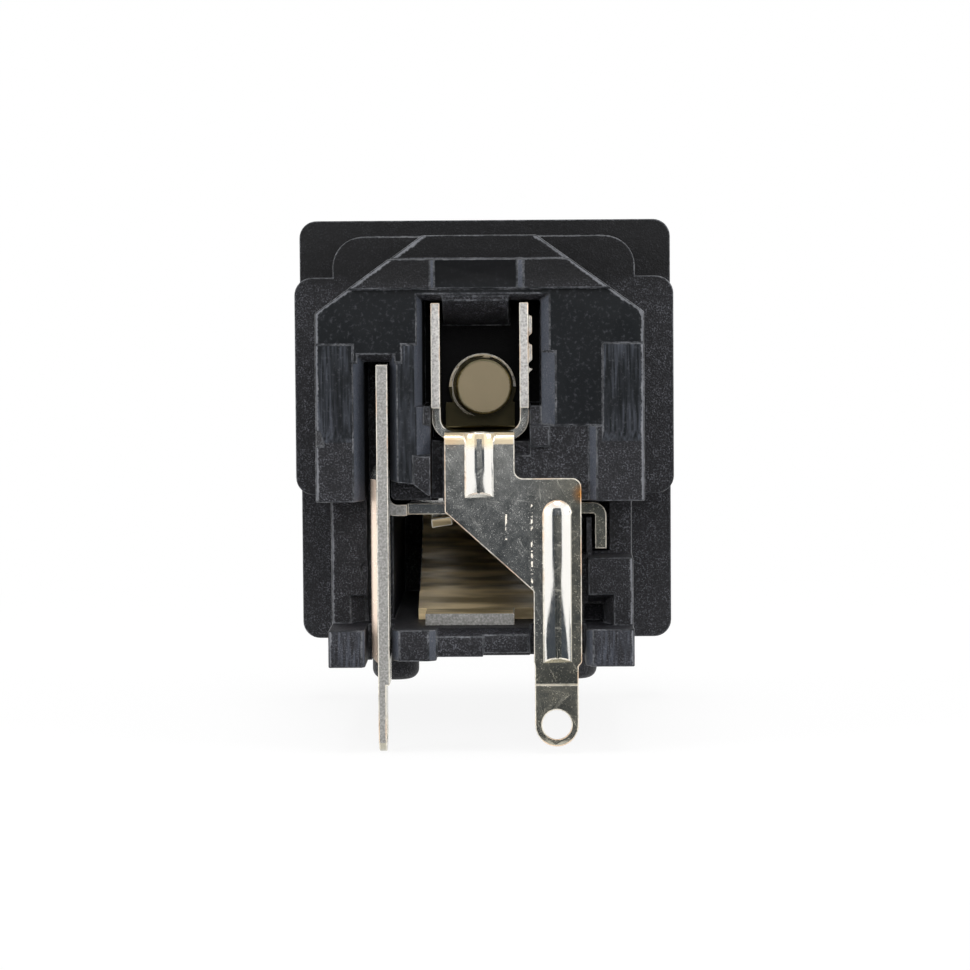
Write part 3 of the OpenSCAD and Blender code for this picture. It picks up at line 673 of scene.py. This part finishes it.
@dataclass(frozen=True)
class TurnedPin(Finish):
    """Dull olive-grey plate on a turned pin, with fine rings round its axis, and worn edges
    that are partly painted glints.
    """

    title: str = "Turned pin"
    slot: str = "pin_metal"
    plate: Colour = (0.3, 0.265, 0.155)
    dull: Colour = (0.2, 0.175, 0.1)
    end: Colour = (0.25, 0.2, 0.118)
    # partly real worn brass, partly a painted glint on the pin's edges
    wear_and_glint: Colour = (0.6, 0.52, 0.33)

    def shade(self, tree: NodeTree, shader: bpy.types.Node,
              place: bpy.types.NodeSocket) -> None:
        """Dress the pin, whose end is matt."""
        end = tree.attribute("end")
        mottle = tree.noise(place, 3600.0, detail=4.0, roughness=0.6)
        rings = tree.noise(tree.stretch(place, (0.03, 1.0, 0.03)), 9000.0, detail=1.0)
        # partly real wear showing brass, partly painted glints on the pin's edges
        wear_and_highlight = EdgeWearAndHighlight.place(tree, Place=place, Edge=tree.attribute("edge"), Size=2600.0,
                               Least=0.0, Amount=0.8).outputs[0]
        tree.feed(shader, "Base Color", tree.layers(
            tree.blend(tree.ramp(mottle, 0.35, 0.65), self.dull, self.plate),
            (end, self.end),
            (tree.times(tree.ramp(mottle, 0.45, 0.62), 0.14), self.dull),
            (wear_and_highlight, self.wear_and_glint)))
        tree.feed(shader, "Metallic", tree.math("SUBTRACT", 1.0, tree.times(end, 0.85)))
        tree.feed(shader, "Roughness", tree.plus(0.3, tree.times(end, 0.25)))
        self.bump(tree, shader, tree.plus(mottle, rings), 0.005 * MM)


# ------------------------------------------------------------------ pieces


def looks_rear(face: bmesh.types.BMFace) -> bool:
    """Tell a face that looks to the rear."""
    return face.normal.y < LOOKS_REAR


def from_axis(place: Vector) -> float:
    """Distance from a place to the pin's axis."""
    return math.hypot(place.x - PIN_X, place.z - PIN_Z)


FaceTest = Callable[[bmesh.types.BMFace], bool]


@dataclass
class Workpiece:
    """One piece that is made from the frame's node of the same name and then worked over."""

    node: str
    finish: Finish
    break_width: float = 0.03 * MM
    sharp_angle: float = 30.0
    tries: int = 8
    smallest_fold: float = 0.0008 * MM * MM
    obj: bpy.types.Object | None = None

    @property
    def title(self) -> str:
        """Name of the piece in the table."""
        return f"{self.node}_finished"

    def marks(self) -> dict[str, FaceTest]:
        """Face attributes and the test that sets each to 1."""
        return {}

    def trim(self, shape: bmesh.types.BMesh, edge_faces: set[bmesh.types.BMFace]) -> None:
        """Cut extra lines into the faces, where a finish needs them."""

    def rim(self, place: Vector) -> float:
        """How near a place on a trimmed face is to the outline, from 0 to 1."""
        return 0.0

    def build(self, frame: dict) -> bpy.types.Object:
        """Copy the node, work over its edges, mark its faces and dress it.


        Returns:
            The finished piece.
        """
        source = frame["nodes"][self.node]
        mesh = bpy.data.meshes.new(self.title)
        shape = bmesh.new()
        shape.from_mesh(source.data)
        self.join_up(shape)
        edge_faces = self.break_edges(shape)
        self.trim(shape, edge_faces)
        self.mark_faces(shape, edge_faces)
        shape.to_mesh(mesh)
        shape.free()
        self.obj = bpy.data.objects.new(self.title, mesh)
        bpy.context.scene.collection.objects.link(self.obj)
        self.obj.data.materials.append(self.finish.material())
        weighted = self.obj.modifiers.new("Even shading", "WEIGHTED_NORMAL")
        weighted.keep_sharp = True
        weighted.weight = 80
        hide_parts(self.node)
        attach(self.obj, "root")
        LOG.info("%s: %d faces", self.title, len(mesh.polygons))
        return self.obj

    def join_up(self, shape: bmesh.types.BMesh) -> None:
        """Merge the loose triangles and dissolve the lines inside flat faces."""
        bmesh.ops.remove_doubles(shape, verts=shape.verts, dist=0.0005 * MM)
        bmesh.ops.dissolve_limit(shape, angle_limit=math.radians(0.6), verts=shape.verts,
                                 edges=shape.edges, use_dissolve_boundaries=False)
        shape.normal_update()

    def sharp_edges(self, shape: bmesh.types.BMesh,
                    left_out: set[int]) -> list[bmesh.types.BMEdge]:
        """Find the edges to round off.

        Args:
            shape: the mesh.
            left_out: numbers of edges to leave sharp.

        Returns:
            The edges.
        """
        limit = math.radians(self.sharp_angle)
        return [edge for edge in shape.edges
                if edge.index not in left_out and len(edge.link_faces) == 2
                and edge.calc_face_angle(0.0) > limit]

    def break_edges(self, shape: bmesh.types.BMesh) -> set[bmesh.types.BMFace]:
        """Round off the sharp edges, but for the few whose rounding would fold a face.

        Returns:
            The new faces along the edges.
        """
        shape.edges.index_update()
        left_out: set[int] = set()
        for _ in range(self.tries):
            trial = shape.copy()
            self.bevel(trial, self.sharp_edges(trial, left_out))
            spots = self.folds(trial)
            trial.free()
            if not spots:
                break
            left_out |= self.edges_near(shape, spots)
        LOG.info("%s: %d edges left sharp", self.title, len(left_out))
        return self.bevel(shape, self.sharp_edges(shape, left_out))

    def bevel(self, shape: bmesh.types.BMesh,
              edges: list[bmesh.types.BMEdge]) -> set[bmesh.types.BMFace]:
        """Bevel some edges.

        Returns:
            The faces that the bevel made.
        """
        result = bmesh.ops.bevel(shape, geom=edges, offset=self.break_width,
                                 offset_type="OFFSET", segments=2, profile=0.5,
                                 affect="EDGES", clamp_overlap=False, material=-1)
        shape.normal_update()
        return {face for face in result["faces"] if face.is_valid}

    def folds(self, shape: bmesh.types.BMesh) -> list[Vector]:
        """Find where a face is folded over itself.

        Returns:
            The corners of the folded triangles.
        """
        spots: list[Vector] = []
        for loops in shape.calc_loop_triangles():
            first, second, third = (loop.vert.co for loop in loops)
            cross = (second - first).cross(third - first)
            if cross.length > self.smallest_fold \
                    and cross.normalized().dot(loops[0].face.normal) < 0.5:
                spots += [first.copy(), second.copy(), third.copy()]
        return spots

    def edges_near(self, shape: bmesh.types.BMesh, spots: list[Vector]) -> set[int]:
        """Find the sharp edges close to some places.

        Returns:
            Their numbers.
        """
        found: set[int] = set()
        reach = 1.8 * self.break_width
        for edge in self.sharp_edges(shape, set()):
            low, high = (vert.co for vert in edge.verts)
            for spot in spots:
                foot, share = geometry.intersect_point_line(spot, low, high)
                nearest = low if share < 0.0 else high if share > 1.0 else foot
                if (nearest - spot).length < reach:
                    found.add(edge.index)
                    break
        return found

    @staticmethod
    def is_panel(face: bmesh.types.BMFace) -> bool:
        """Tell a broad flat face from a strip of a curve."""
        longest = max(edge.calc_length() for edge in face.edges)
        if longest == 0.0:
            return False
        width = face.calc_area() / longest
        return width > 0.25 * MM and longest < 6.0 * width

    def mark_faces(self, shape: bmesh.types.BMesh,
                   edge_faces: set[bmesh.types.BMFace]) -> None:
        """Write the face attributes that the finish reads, and smooth the shading."""
        tests = self.marks()
        shape.faces.index_update()
        broken_faces = {face.index for face in edge_faces if face.is_valid}
        for name in (*tests, "edge"):
            shape.faces.layers.float.new(name)
        shape.loops.layers.float.new("rim")
        edge_layer = shape.faces.layers.float["edge"]
        rim_layer = shape.loops.layers.float["rim"]
        layers = {name: shape.faces.layers.float[name] for name in tests}
        for face in shape.faces:
            face.smooth = True
            broken = face.index in broken_faces
            face[edge_layer] = 1.0 if broken else 0.0
            for name, layer in layers.items():
                face[layer] = 1.0 if tests[name](face) and not broken else 0.0
            if not broken and looks_rear(face):
                for loop in face.loops:
                    loop[rim_layer] = self.rim(loop.vert.co)
        limit, slight = math.radians(40.0), math.radians(3.0)
        for edge in shape.edges:
            turn = edge.calc_face_angle(0.0)
            flats = all(self.is_panel(face) for face in edge.link_faces)
            edge.smooth = not (turn > limit or (turn > slight and flats))


@dataclass
class Housing(Workpiece):
    """The moulded housing."""

    node: str = "housing"
    finish: Finish = field(default_factory=BlackMoulding)
    break_width: float = 0.035 * MM
    rear_y: float = -6.0 * MM
    rear_depth: float = 2.2 * MM
    rim_width: float = 0.15 * MM
    half_width: float = 4.5 * MM
    base_half_width: float = 4.2 * MM
    deck_z: float = 4.55 * MM
    shoulder_z: float = 9.72 * MM
    top_z: float = 11.83 * MM
    top_half_width: float = 1.575 * MM

    def marks(self) -> dict[str, FaceTest]:
        """The faces' grain, streaks, slope and shade."""
        return {"grained": self.is_grained, "streaked": self.is_streaked,
                "sloped": self.is_sloped, "enclosed": self.is_enclosed,
                "rearward": looks_rear, "deep": self.is_deep}

    def shoulder(self) -> Vector:
        """Outward direction of the right shoulder, in X and Z."""
        rise = self.top_z - self.shoulder_z
        run = self.half_width - self.top_half_width
        return Vector((rise, 0.0, run)).normalized()

    def inset(self, place: Vector) -> float:
        """Distance from a place on the rear to the nearest outer line of the body."""
        across = abs(place.x)
        if place.z < self.deck_z:
            return self.base_half_width - across
        slope = self.shoulder()
        corner = Vector((self.half_width, 0.0, self.shoulder_z))
        shoulder = slope.dot(corner - Vector((across, 0.0, place.z)))
        return min(self.half_width - across, shoulder)

    def rim(self, place: Vector) -> float:
        """1 on the rear outline, falling to 0 at the rim's width."""
        if place.y > self.rear_y + self.rear_depth or self.inset(place) < -0.1 * MM:
            return 0.0
        share = 1.0 - (self.inset(place) - self.break_width) / (self.rim_width
                                                                - self.break_width)
        weight = 1.0 if place.z > self.deck_z - 0.01 * MM else 0.85
        return weight * max(0.0, min(1.0, share))

    def trim(self, shape: bmesh.types.BMesh, edge_faces: set[bmesh.types.BMFace]) -> None:
        """Cut a narrow strip along the rear outline, for the flash and its painted edge
        highlight to lie in.
        """
        slope = self.shoulder()
        corner = Vector((self.half_width, 0.0, self.shoulder_z))
        cuts: list[tuple[Vector, Vector, float, float]] = []
        for side in (-1.0, 1.0):
            out = Vector((side, 0.0, 0.0))
            cuts.append((out * (self.half_width - self.rim_width), out, self.deck_z, 1.0))
            cuts.append((out * (self.base_half_width - self.rim_width), out, -1.0,
                         self.deck_z))
            leaning = Vector((side * slope.x, 0.0, slope.z))
            point = Vector((side * corner.x, 0.0, corner.z)) - leaning * self.rim_width
            cuts.append((point, leaning, self.deck_z, 1.0))
        for point, out, low, high in cuts:
            faces = [face for face in shape.faces
                     if face not in edge_faces and looks_rear(face)
                     and face.calc_center_median().y < self.rear_y + self.rear_depth
                     and low < face.calc_center_median().z < high]
            parts = dict.fromkeys(faces)
            for face in faces:
                parts.update(dict.fromkeys((*face.edges, *face.verts)))
            bmesh.ops.bisect_plane(shape, geom=list(parts), dist=0.0001 * MM,
                                   plane_co=point, plane_no=out)
        shape.normal_update()

    def is_grained(self, face: bmesh.types.BMFace) -> bool:
        """Tell the eroded faces from the polished ones."""
        middle = face.calc_center_median()
        recess = 0.05 * MM < middle.y - self.rear_y < 0.28 * MM
        return not (looks_rear(face) and middle.z > 4.4 * MM and recess)

    def is_streaked(self, face: bmesh.types.BMFace) -> bool:
        """Pick the side panels, the ribs and the feet."""
        if not looks_rear(face):
            return False
        middle = face.calc_center_median()
        depth = middle.y - self.rear_y
        panel = 0.05 * MM < depth < 0.16 * MM and 5.0 * MM < middle.z < 10.3 * MM
        foot = middle.z < 1.1 * MM and abs(middle.x) > 3.0 * MM and depth < 0.6 * MM
        return panel or foot

    def is_sloped(self, face: bmesh.types.BMFace) -> bool:
        """Pick the sloping walls of the slots and of the channel, which get a painted bluish
        highlight.
        """
        middle, normal = face.calc_center_median(), face.normal
        at_rear = middle.y < self.rear_y + 1.6 * MM and middle.z > 0.2 * MM
        return at_rear and 0.2 < abs(normal.x) < 0.97 and normal.y < -0.15 \
            and abs(middle.x) < 4.1 * MM

    def is_enclosed(self, face: bmesh.types.BMFace) -> bool:
        """Pick the upright walls that stand close to the metal, which get painted shade with a
        warm painted reflection of the metal.
        """
        middle, normal = face.calc_center_median(), face.normal
        return abs(normal.x) > 0.97 and abs(middle.x) < 3.4 * MM \
            and middle.y < self.rear_y + 2.4 * MM and middle.z > 5.0 * MM

    def is_deep(self, face: bmesh.types.BMFace) -> bool:
        """Pick the end of the chamber round the clip, which is painted almost black as shade
        and made rougher.
        """
        middle = face.calc_center_median()
        inside = abs(middle.x) < 1.6 * MM and 6.2 * MM < middle.z < 9.0 * MM
        return inside and middle.y > self.rear_y + 1.2 * MM and middle.y < 0.0


@dataclass
class SheetPiece(Workpiece):
    """A stamped sheet terminal."""

    finish: Finish = field(default_factory=PlatedSheet)

    def marks(self) -> dict[str, FaceTest]:
        """Cut edges, the spring's leaves, faces with painted shade, faces with a painted warm
        reflection and faces with a painted highlight.
        """
        return {"cut": self.is_cut, "leaf": self.is_leaf, "shaded": self.is_shaded,
                "painted_reflection": self.is_painted_reflection, "ridge_highlight": self.is_ridge}

    def is_cut(self, face: bmesh.types.BMFace) -> bool:
        """Tell a sheared edge from the sheet's faces."""
        raise NotImplementedError

    def is_leaf(self, face: bmesh.types.BMFace) -> bool:
        """Tell a face of the spring, which is coloured brown."""
        return False

    def is_shaded(self, face: bmesh.types.BMFace) -> bool:
        """Tell a face far inside the housing, which is painted darker as shade."""
        return False

    def is_painted_reflection(self, face: bmesh.types.BMFace) -> bool:
        """Tell a face that gets a painted warm reflection."""
        return False

    def is_ridge(self, face: bmesh.types.BMFace) -> bool:
        """Tell a face of a pressed bead or of a fold, which is smooth and gets a painted
        highlight.
        """
        return False


@dataclass
class PinTerminal(SheetPiece):
    """The clip, the folded strip and the plate with the pin's tail."""

    node: str = "pin_terminal"

    def is_cut(self, face: bmesh.types.BMFace) -> bool:
        """The clip's arms show their edges to the rear."""
        middle, normal = face.calc_center_median(), face.normal
        return middle.z > 7.05 * MM and abs(middle.x) > 0.9 * MM and abs(normal.y) > 0.8

    def is_shaded(self, face: bmesh.types.BMFace) -> bool:
        """The clip's floor and its web behind the pin, which get painted shade; its bends are
        left out.
        """
        middle = face.calc_center_median()
        clip = middle.z > 6.45 * MM or (middle.z > 6.1 * MM and middle.y > -5.45 * MM)
        bend = abs(middle.x) > 0.95 * MM and middle.z < 7.05 * MM and face.normal.y < -0.1
        return clip and not bend and not self.is_cut(face) and not self.is_ring(face)

    def is_ring(self, face: bmesh.types.BMFace) -> bool:
        """The thin ring drawn up round the pin."""
        middle = face.calc_center_median()
        return 0.72 * MM < from_axis(middle) < 1.05 * MM and middle.y < -3.75 * MM \
            and face.normal.y < -0.2 and middle.z > 6.7 * MM

    def is_leaf(self, face: bmesh.types.BMFace) -> bool:
        """The lower half of the ring, which gets the spring's brown as painted shade."""
        return self.is_ring(face) and face.calc_center_median().z < 7.5 * MM

    def is_ridge(self, face: bmesh.types.BMFace) -> bool:
        """The beads, the fold at the top of the strip and the ring's upper half get a painted
        highlight.
        """
        middle, normal = face.calc_center_median(), face.normal
        if self.is_ring(face) and middle.z > 7.5 * MM:
            return True
        leaning = math.hypot(normal.x, normal.z) > 0.15 or middle.z > 6.12 * MM
        return leaning and normal.y < -0.1 and 0.6 * MM < middle.z < 6.45 * MM \
            and not self.is_shaded(face)


@dataclass
class SleeveTerminal(SheetPiece):
    """The blade, its saddle and the hairpin spring."""

    node: str = "sleeve_terminal"
    finish: Finish = field(default_factory=lambda: PlatedSheet(
        title="Plated blade", cut=(0.25, 0.245, 0.235), pit=(0.15, 0.145, 0.135),
        bright=(0.42, 0.41, 0.39)))

    def is_cut(self, face: bmesh.types.BMFace) -> bool:
        """The blade shows its edge to the rear, and so does the foot of the spring."""
        middle, normal = face.calc_center_median(), face.normal
        if middle.x < -2.2 * MM:
            return abs(normal.y) > 0.8
        return normal.y < -0.8 and middle.z < 2.0 * MM and middle.y < -4.0 * MM

    def is_leaf(self, face: bmesh.types.BMFace) -> bool:
        """The spring's leaves."""
        middle = face.calc_center_median()
        return middle.z < 4.0 * MM and abs(middle.x) < 2.2 * MM and not self.is_cut(face)

    def is_painted_reflection(self, face: bmesh.types.BMFace) -> bool:
        """The outer side of the blade below the deck, which gets a painted warm reflection."""
        middle = face.calc_center_median()
        return face.normal.x < -0.2 and middle.x < -2.2 * MM \
            and 0.9 * MM < middle.z < 4.4 * MM


@dataclass
class CentrePin(Workpiece):
    """The turned centre pin."""

    node: str = "centre_pin"
    finish: Finish = field(default_factory=TurnedPin)

    def marks(self) -> dict[str, FaceTest]:
        """The pin's rear end."""
        return {"end": self.is_end}

    def is_end(self, face: bmesh.types.BMFace) -> bool:
        """Tell the end face from the turned ones."""
        middle = face.calc_center_median()
        return looks_rear(face) and middle.y < -4.5 * MM and from_axis(middle) < 0.72 * MM


# ------------------------------------------------------------------ studio


@dataclass
class SoftLamp:
    """One soft box."""

    title: str
    place: Vector
    size: float
    power: float
    aim: Vector

    def build(self) -> None:
        """Hang the lamp and turn it to its aim."""
        data = bpy.data.lights.new(self.title, "AREA")
        data.shape = "SQUARE"
        data.size = self.size
        data.energy = self.power
        lamp = bpy.data.objects.new(self.title, data)
        bpy.context.scene.collection.objects.link(lamp)
        lamp.location = self.place
        lamp.rotation_euler = (self.aim - self.place).to_track_quat("-Z", "Y").to_euler()


@dataclass
class Studio:
    """Pale floor, soft lamps and the camera."""

    eye: Vector = field(default_factory=lambda: Vector((1.5, -103.0, 11.38)) * MM)
    target: Vector = field(default_factory=lambda: Vector((0.13, -6.0, 5.01)) * MM)
    roll: float = 0.4
    lens: float = 132.1
    floor_size: float = 3.0
    floor_colour: Colour = (0.93, 0.93, 0.93)
    floor_glow: float = 0.88
    floor_fade: tuple[float, float] = (10.0 * MM, 45.0 * MM)
    world_light: float = 0.4
    hood_y: float = -42.0 * MM
    hood_width: float = 45.0 * MM
    hood_height: float = 44.0 * MM
    foot_width: float = 24.0 * MM
    foot_end: float = -8.0 * MM
    foot_lift: float = 0.02 * MM
    hood_glow: Colour = (0.055, 0.064, 0.076)

    def build(self, floor_z: float) -> None:
        """Set up the whole studio.

        Args:
            floor_z: height of the floor.
        """
        self.set_view()
        self.add_world()
        self.add_floor(floor_z)
        self.add_hood(floor_z)
        self.add_lamps()
        self.add_camera()

    def set_view(self) -> None:
        """Use the plain view transform."""
        bpy.context.scene.view_settings.view_transform = "Standard"

    def add_world(self) -> None:
        """A pale world that is white where the camera sees it."""
        world = bpy.data.worlds.new("Studio")
        bpy.context.scene.world = world
        tree = empty_tree(world)
        seen = self.seen(tree)
        back = tree.add("ShaderNodeBackground")
        tree.feed(back, "Color", (1.0, 1.0, 1.0, 1.0))
        span = tree.math("SUBTRACT", 1.0, self.world_light)
        strength = tree.plus(self.world_light, tree.times(seen, span))
        tree.feed(back, "Strength", strength)
        tree.feed(tree.add("ShaderNodeOutputWorld"), "Surface", back.outputs[0])

    @staticmethod
    def seen(tree: NodeTree) -> bpy.types.NodeSocket:
        """Rays from the camera, straight or by way of metal or glass.

        Returns:
            1 for such a ray, or 0.
        """
        path = tree.add("ShaderNodeLightPath")
        return tree.most(*(path.outputs[f"Is {kind} Ray"]
                           for kind in ("Camera", "Glossy", "Transmission")))

    @staticmethod
    def stage_sheet(name: str, size: tuple[float, float],
                    place: Vector, faces: Vector) -> bpy.types.Object:
        """Stand a flat sheet in the studio.

        Args:
            name: its name.
            size: its width and its height.
            place: its middle.
            faces: the direction that it faces.

        Returns:
            The sheet.
        """
        mesh = bpy.data.meshes.new(name)
        shape = bmesh.new()
        bmesh.ops.create_grid(shape, x_segments=1, y_segments=1, size=0.5)
        bmesh.ops.scale(shape, verts=shape.verts, vec=(size[0], size[1], 1.0))
        bmesh.ops.rotate(shape, verts=shape.verts, cent=(0.0, 0.0, 0.0),
                         matrix=faces.to_track_quat("Z", "Y").to_matrix())
        bmesh.ops.translate(shape, verts=shape.verts, vec=place)
        shape.to_mesh(mesh)
        shape.free()
        sheet = bpy.data.objects.new(name, mesh)
        bpy.context.scene.collection.objects.link(sheet)
        sheet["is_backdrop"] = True
        return sheet

    def add_floor(self, height: float) -> None:
        """Lay the floor under the object."""
        floor = self.stage_sheet("Floor", (self.floor_size, self.floor_size),
                                 Vector((0.0, 0.0, height)), Vector((0.0, 0.0, 1.0)))
        material = bpy.data.materials.new("Pale floor")
        tree = empty_tree(material)
        matt = tree.add("ShaderNodeBsdfPrincipled")
        tree.feed(matt, "Base Color", (*self.floor_colour, 1.0))
        tree.feed(matt, "Roughness", 0.9)
        tree.feed(matt, "Specular IOR Level", 0.1)
        plain = tree.add("ShaderNodeEmission")
        away = tree.add("ShaderNodeVectorMath", operation="LENGTH")
        tree.feed(away, 0, tree.add("ShaderNodeTexCoord").outputs["Object"])
        far = tree.ramp(away.outputs["Value"], *self.floor_fade)
        share = tree.plus(self.floor_glow, tree.times(far, 1.0 - self.floor_glow))
        mix = tree.add("ShaderNodeMixShader")
        tree.feed(mix, 0, tree.times(share, self.seen(tree)))
        tree.feed(mix, 1, matt.outputs[0])
        tree.feed(mix, 2, plain.outputs[0])
        tree.feed(tree.add("ShaderNodeOutputMaterial"), "Surface", mix.outputs[0])
        floor.data.materials.append(material)

    def add_hood(self, height: float) -> None:
        """Stand a dark hood before the rear and over the floor there. Only mirrors see it.

        Args:
            height: height of the floor.
        """
        material = bpy.data.materials.new("Dark hood")
        tree = empty_tree(material)
        glow = tree.add("ShaderNodeEmission")
        tree.feed(glow, "Color", (*self.hood_glow, 1.0))
        tree.feed(tree.add("ShaderNodeOutputMaterial"), "Surface", glow.outputs[0])
        depth = self.foot_end - self.hood_y
        upright = self.stage_sheet("Hood", (self.hood_width, self.hood_height),
                                   Vector((0.0, self.hood_y, height + self.hood_height / 2)),
                                   Vector((0.0, 1.0, 0.0)))
        flat = self.stage_sheet("Hood foot", (self.foot_width, depth),
                                Vector((0.0, self.hood_y + depth / 2,
                                        height + self.foot_lift)),
                                Vector((0.0, 0.0, 1.0)))
        for sheet in (upright, flat):
            sheet.data.materials.append(material)
            for rays in ("camera", "diffuse", "transmission", "shadow"):
                setattr(sheet, f"visible_{rays}", False)

    def add_lamps(self) -> None:
        """Hang soft boxes overhead, on each side and before the rear."""
        aim = Vector((0.0, 0.0, 6.0)) * MM
        lamps = (
            SoftLamp("Top box", Vector((0.0, -0.04, 0.42)), 0.2, 0.8, aim),
            SoftLamp("Left box", Vector((-0.36, -0.14, 0.14)), 0.2, 0.7, aim),
            SoftLamp("Right box", Vector((0.36, -0.14, 0.14)), 0.2, 0.7, aim),
            SoftLamp("Front box", Vector((0.03, -0.32, 0.13)), 0.16, 0.5, aim),
        )
        for lamp in lamps:
            lamp.build()

    def add_camera(self) -> None:
        """Stand the camera and aim it."""
        data = bpy.data.cameras.new("Camera")
        data.lens = self.lens
        data.sensor_width = 36.0
        data.clip_start = 0.001
        data.clip_end = 10.0
        camera = bpy.data.objects.new("Camera", data)
        bpy.context.scene.collection.objects.link(camera)
        camera.location = self.eye
        turn = (self.target - self.eye).to_track_quat("-Z", "Y")
        axis = Vector((0.0, 0.0, 1.0))
        camera.rotation_mode = "QUATERNION"
        camera.rotation_quaternion = turn @ Quaternion(axis, math.radians(-self.roll))
        bpy.context.scene.camera = camera


def corners(box: tuple[Vector, Vector]) -> list[list[float]]:
    """A box's two corners as plain lists."""
    return [[float(v) for v in corner] for corner in box]


def main() -> None:
    """Load the frame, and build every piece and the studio."""
    logging.basicConfig(level=logging.INFO, format="%(name)s: %(message)s")
    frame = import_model()
    cad_box = corners(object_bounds())
    Studio().build(floor_z=cad_box[0][2])
    for piece in (Housing(), CentrePin(), PinTerminal(), SleeveTerminal()):
        piece.build(frame)


if __name__ == "__main__":
    main()
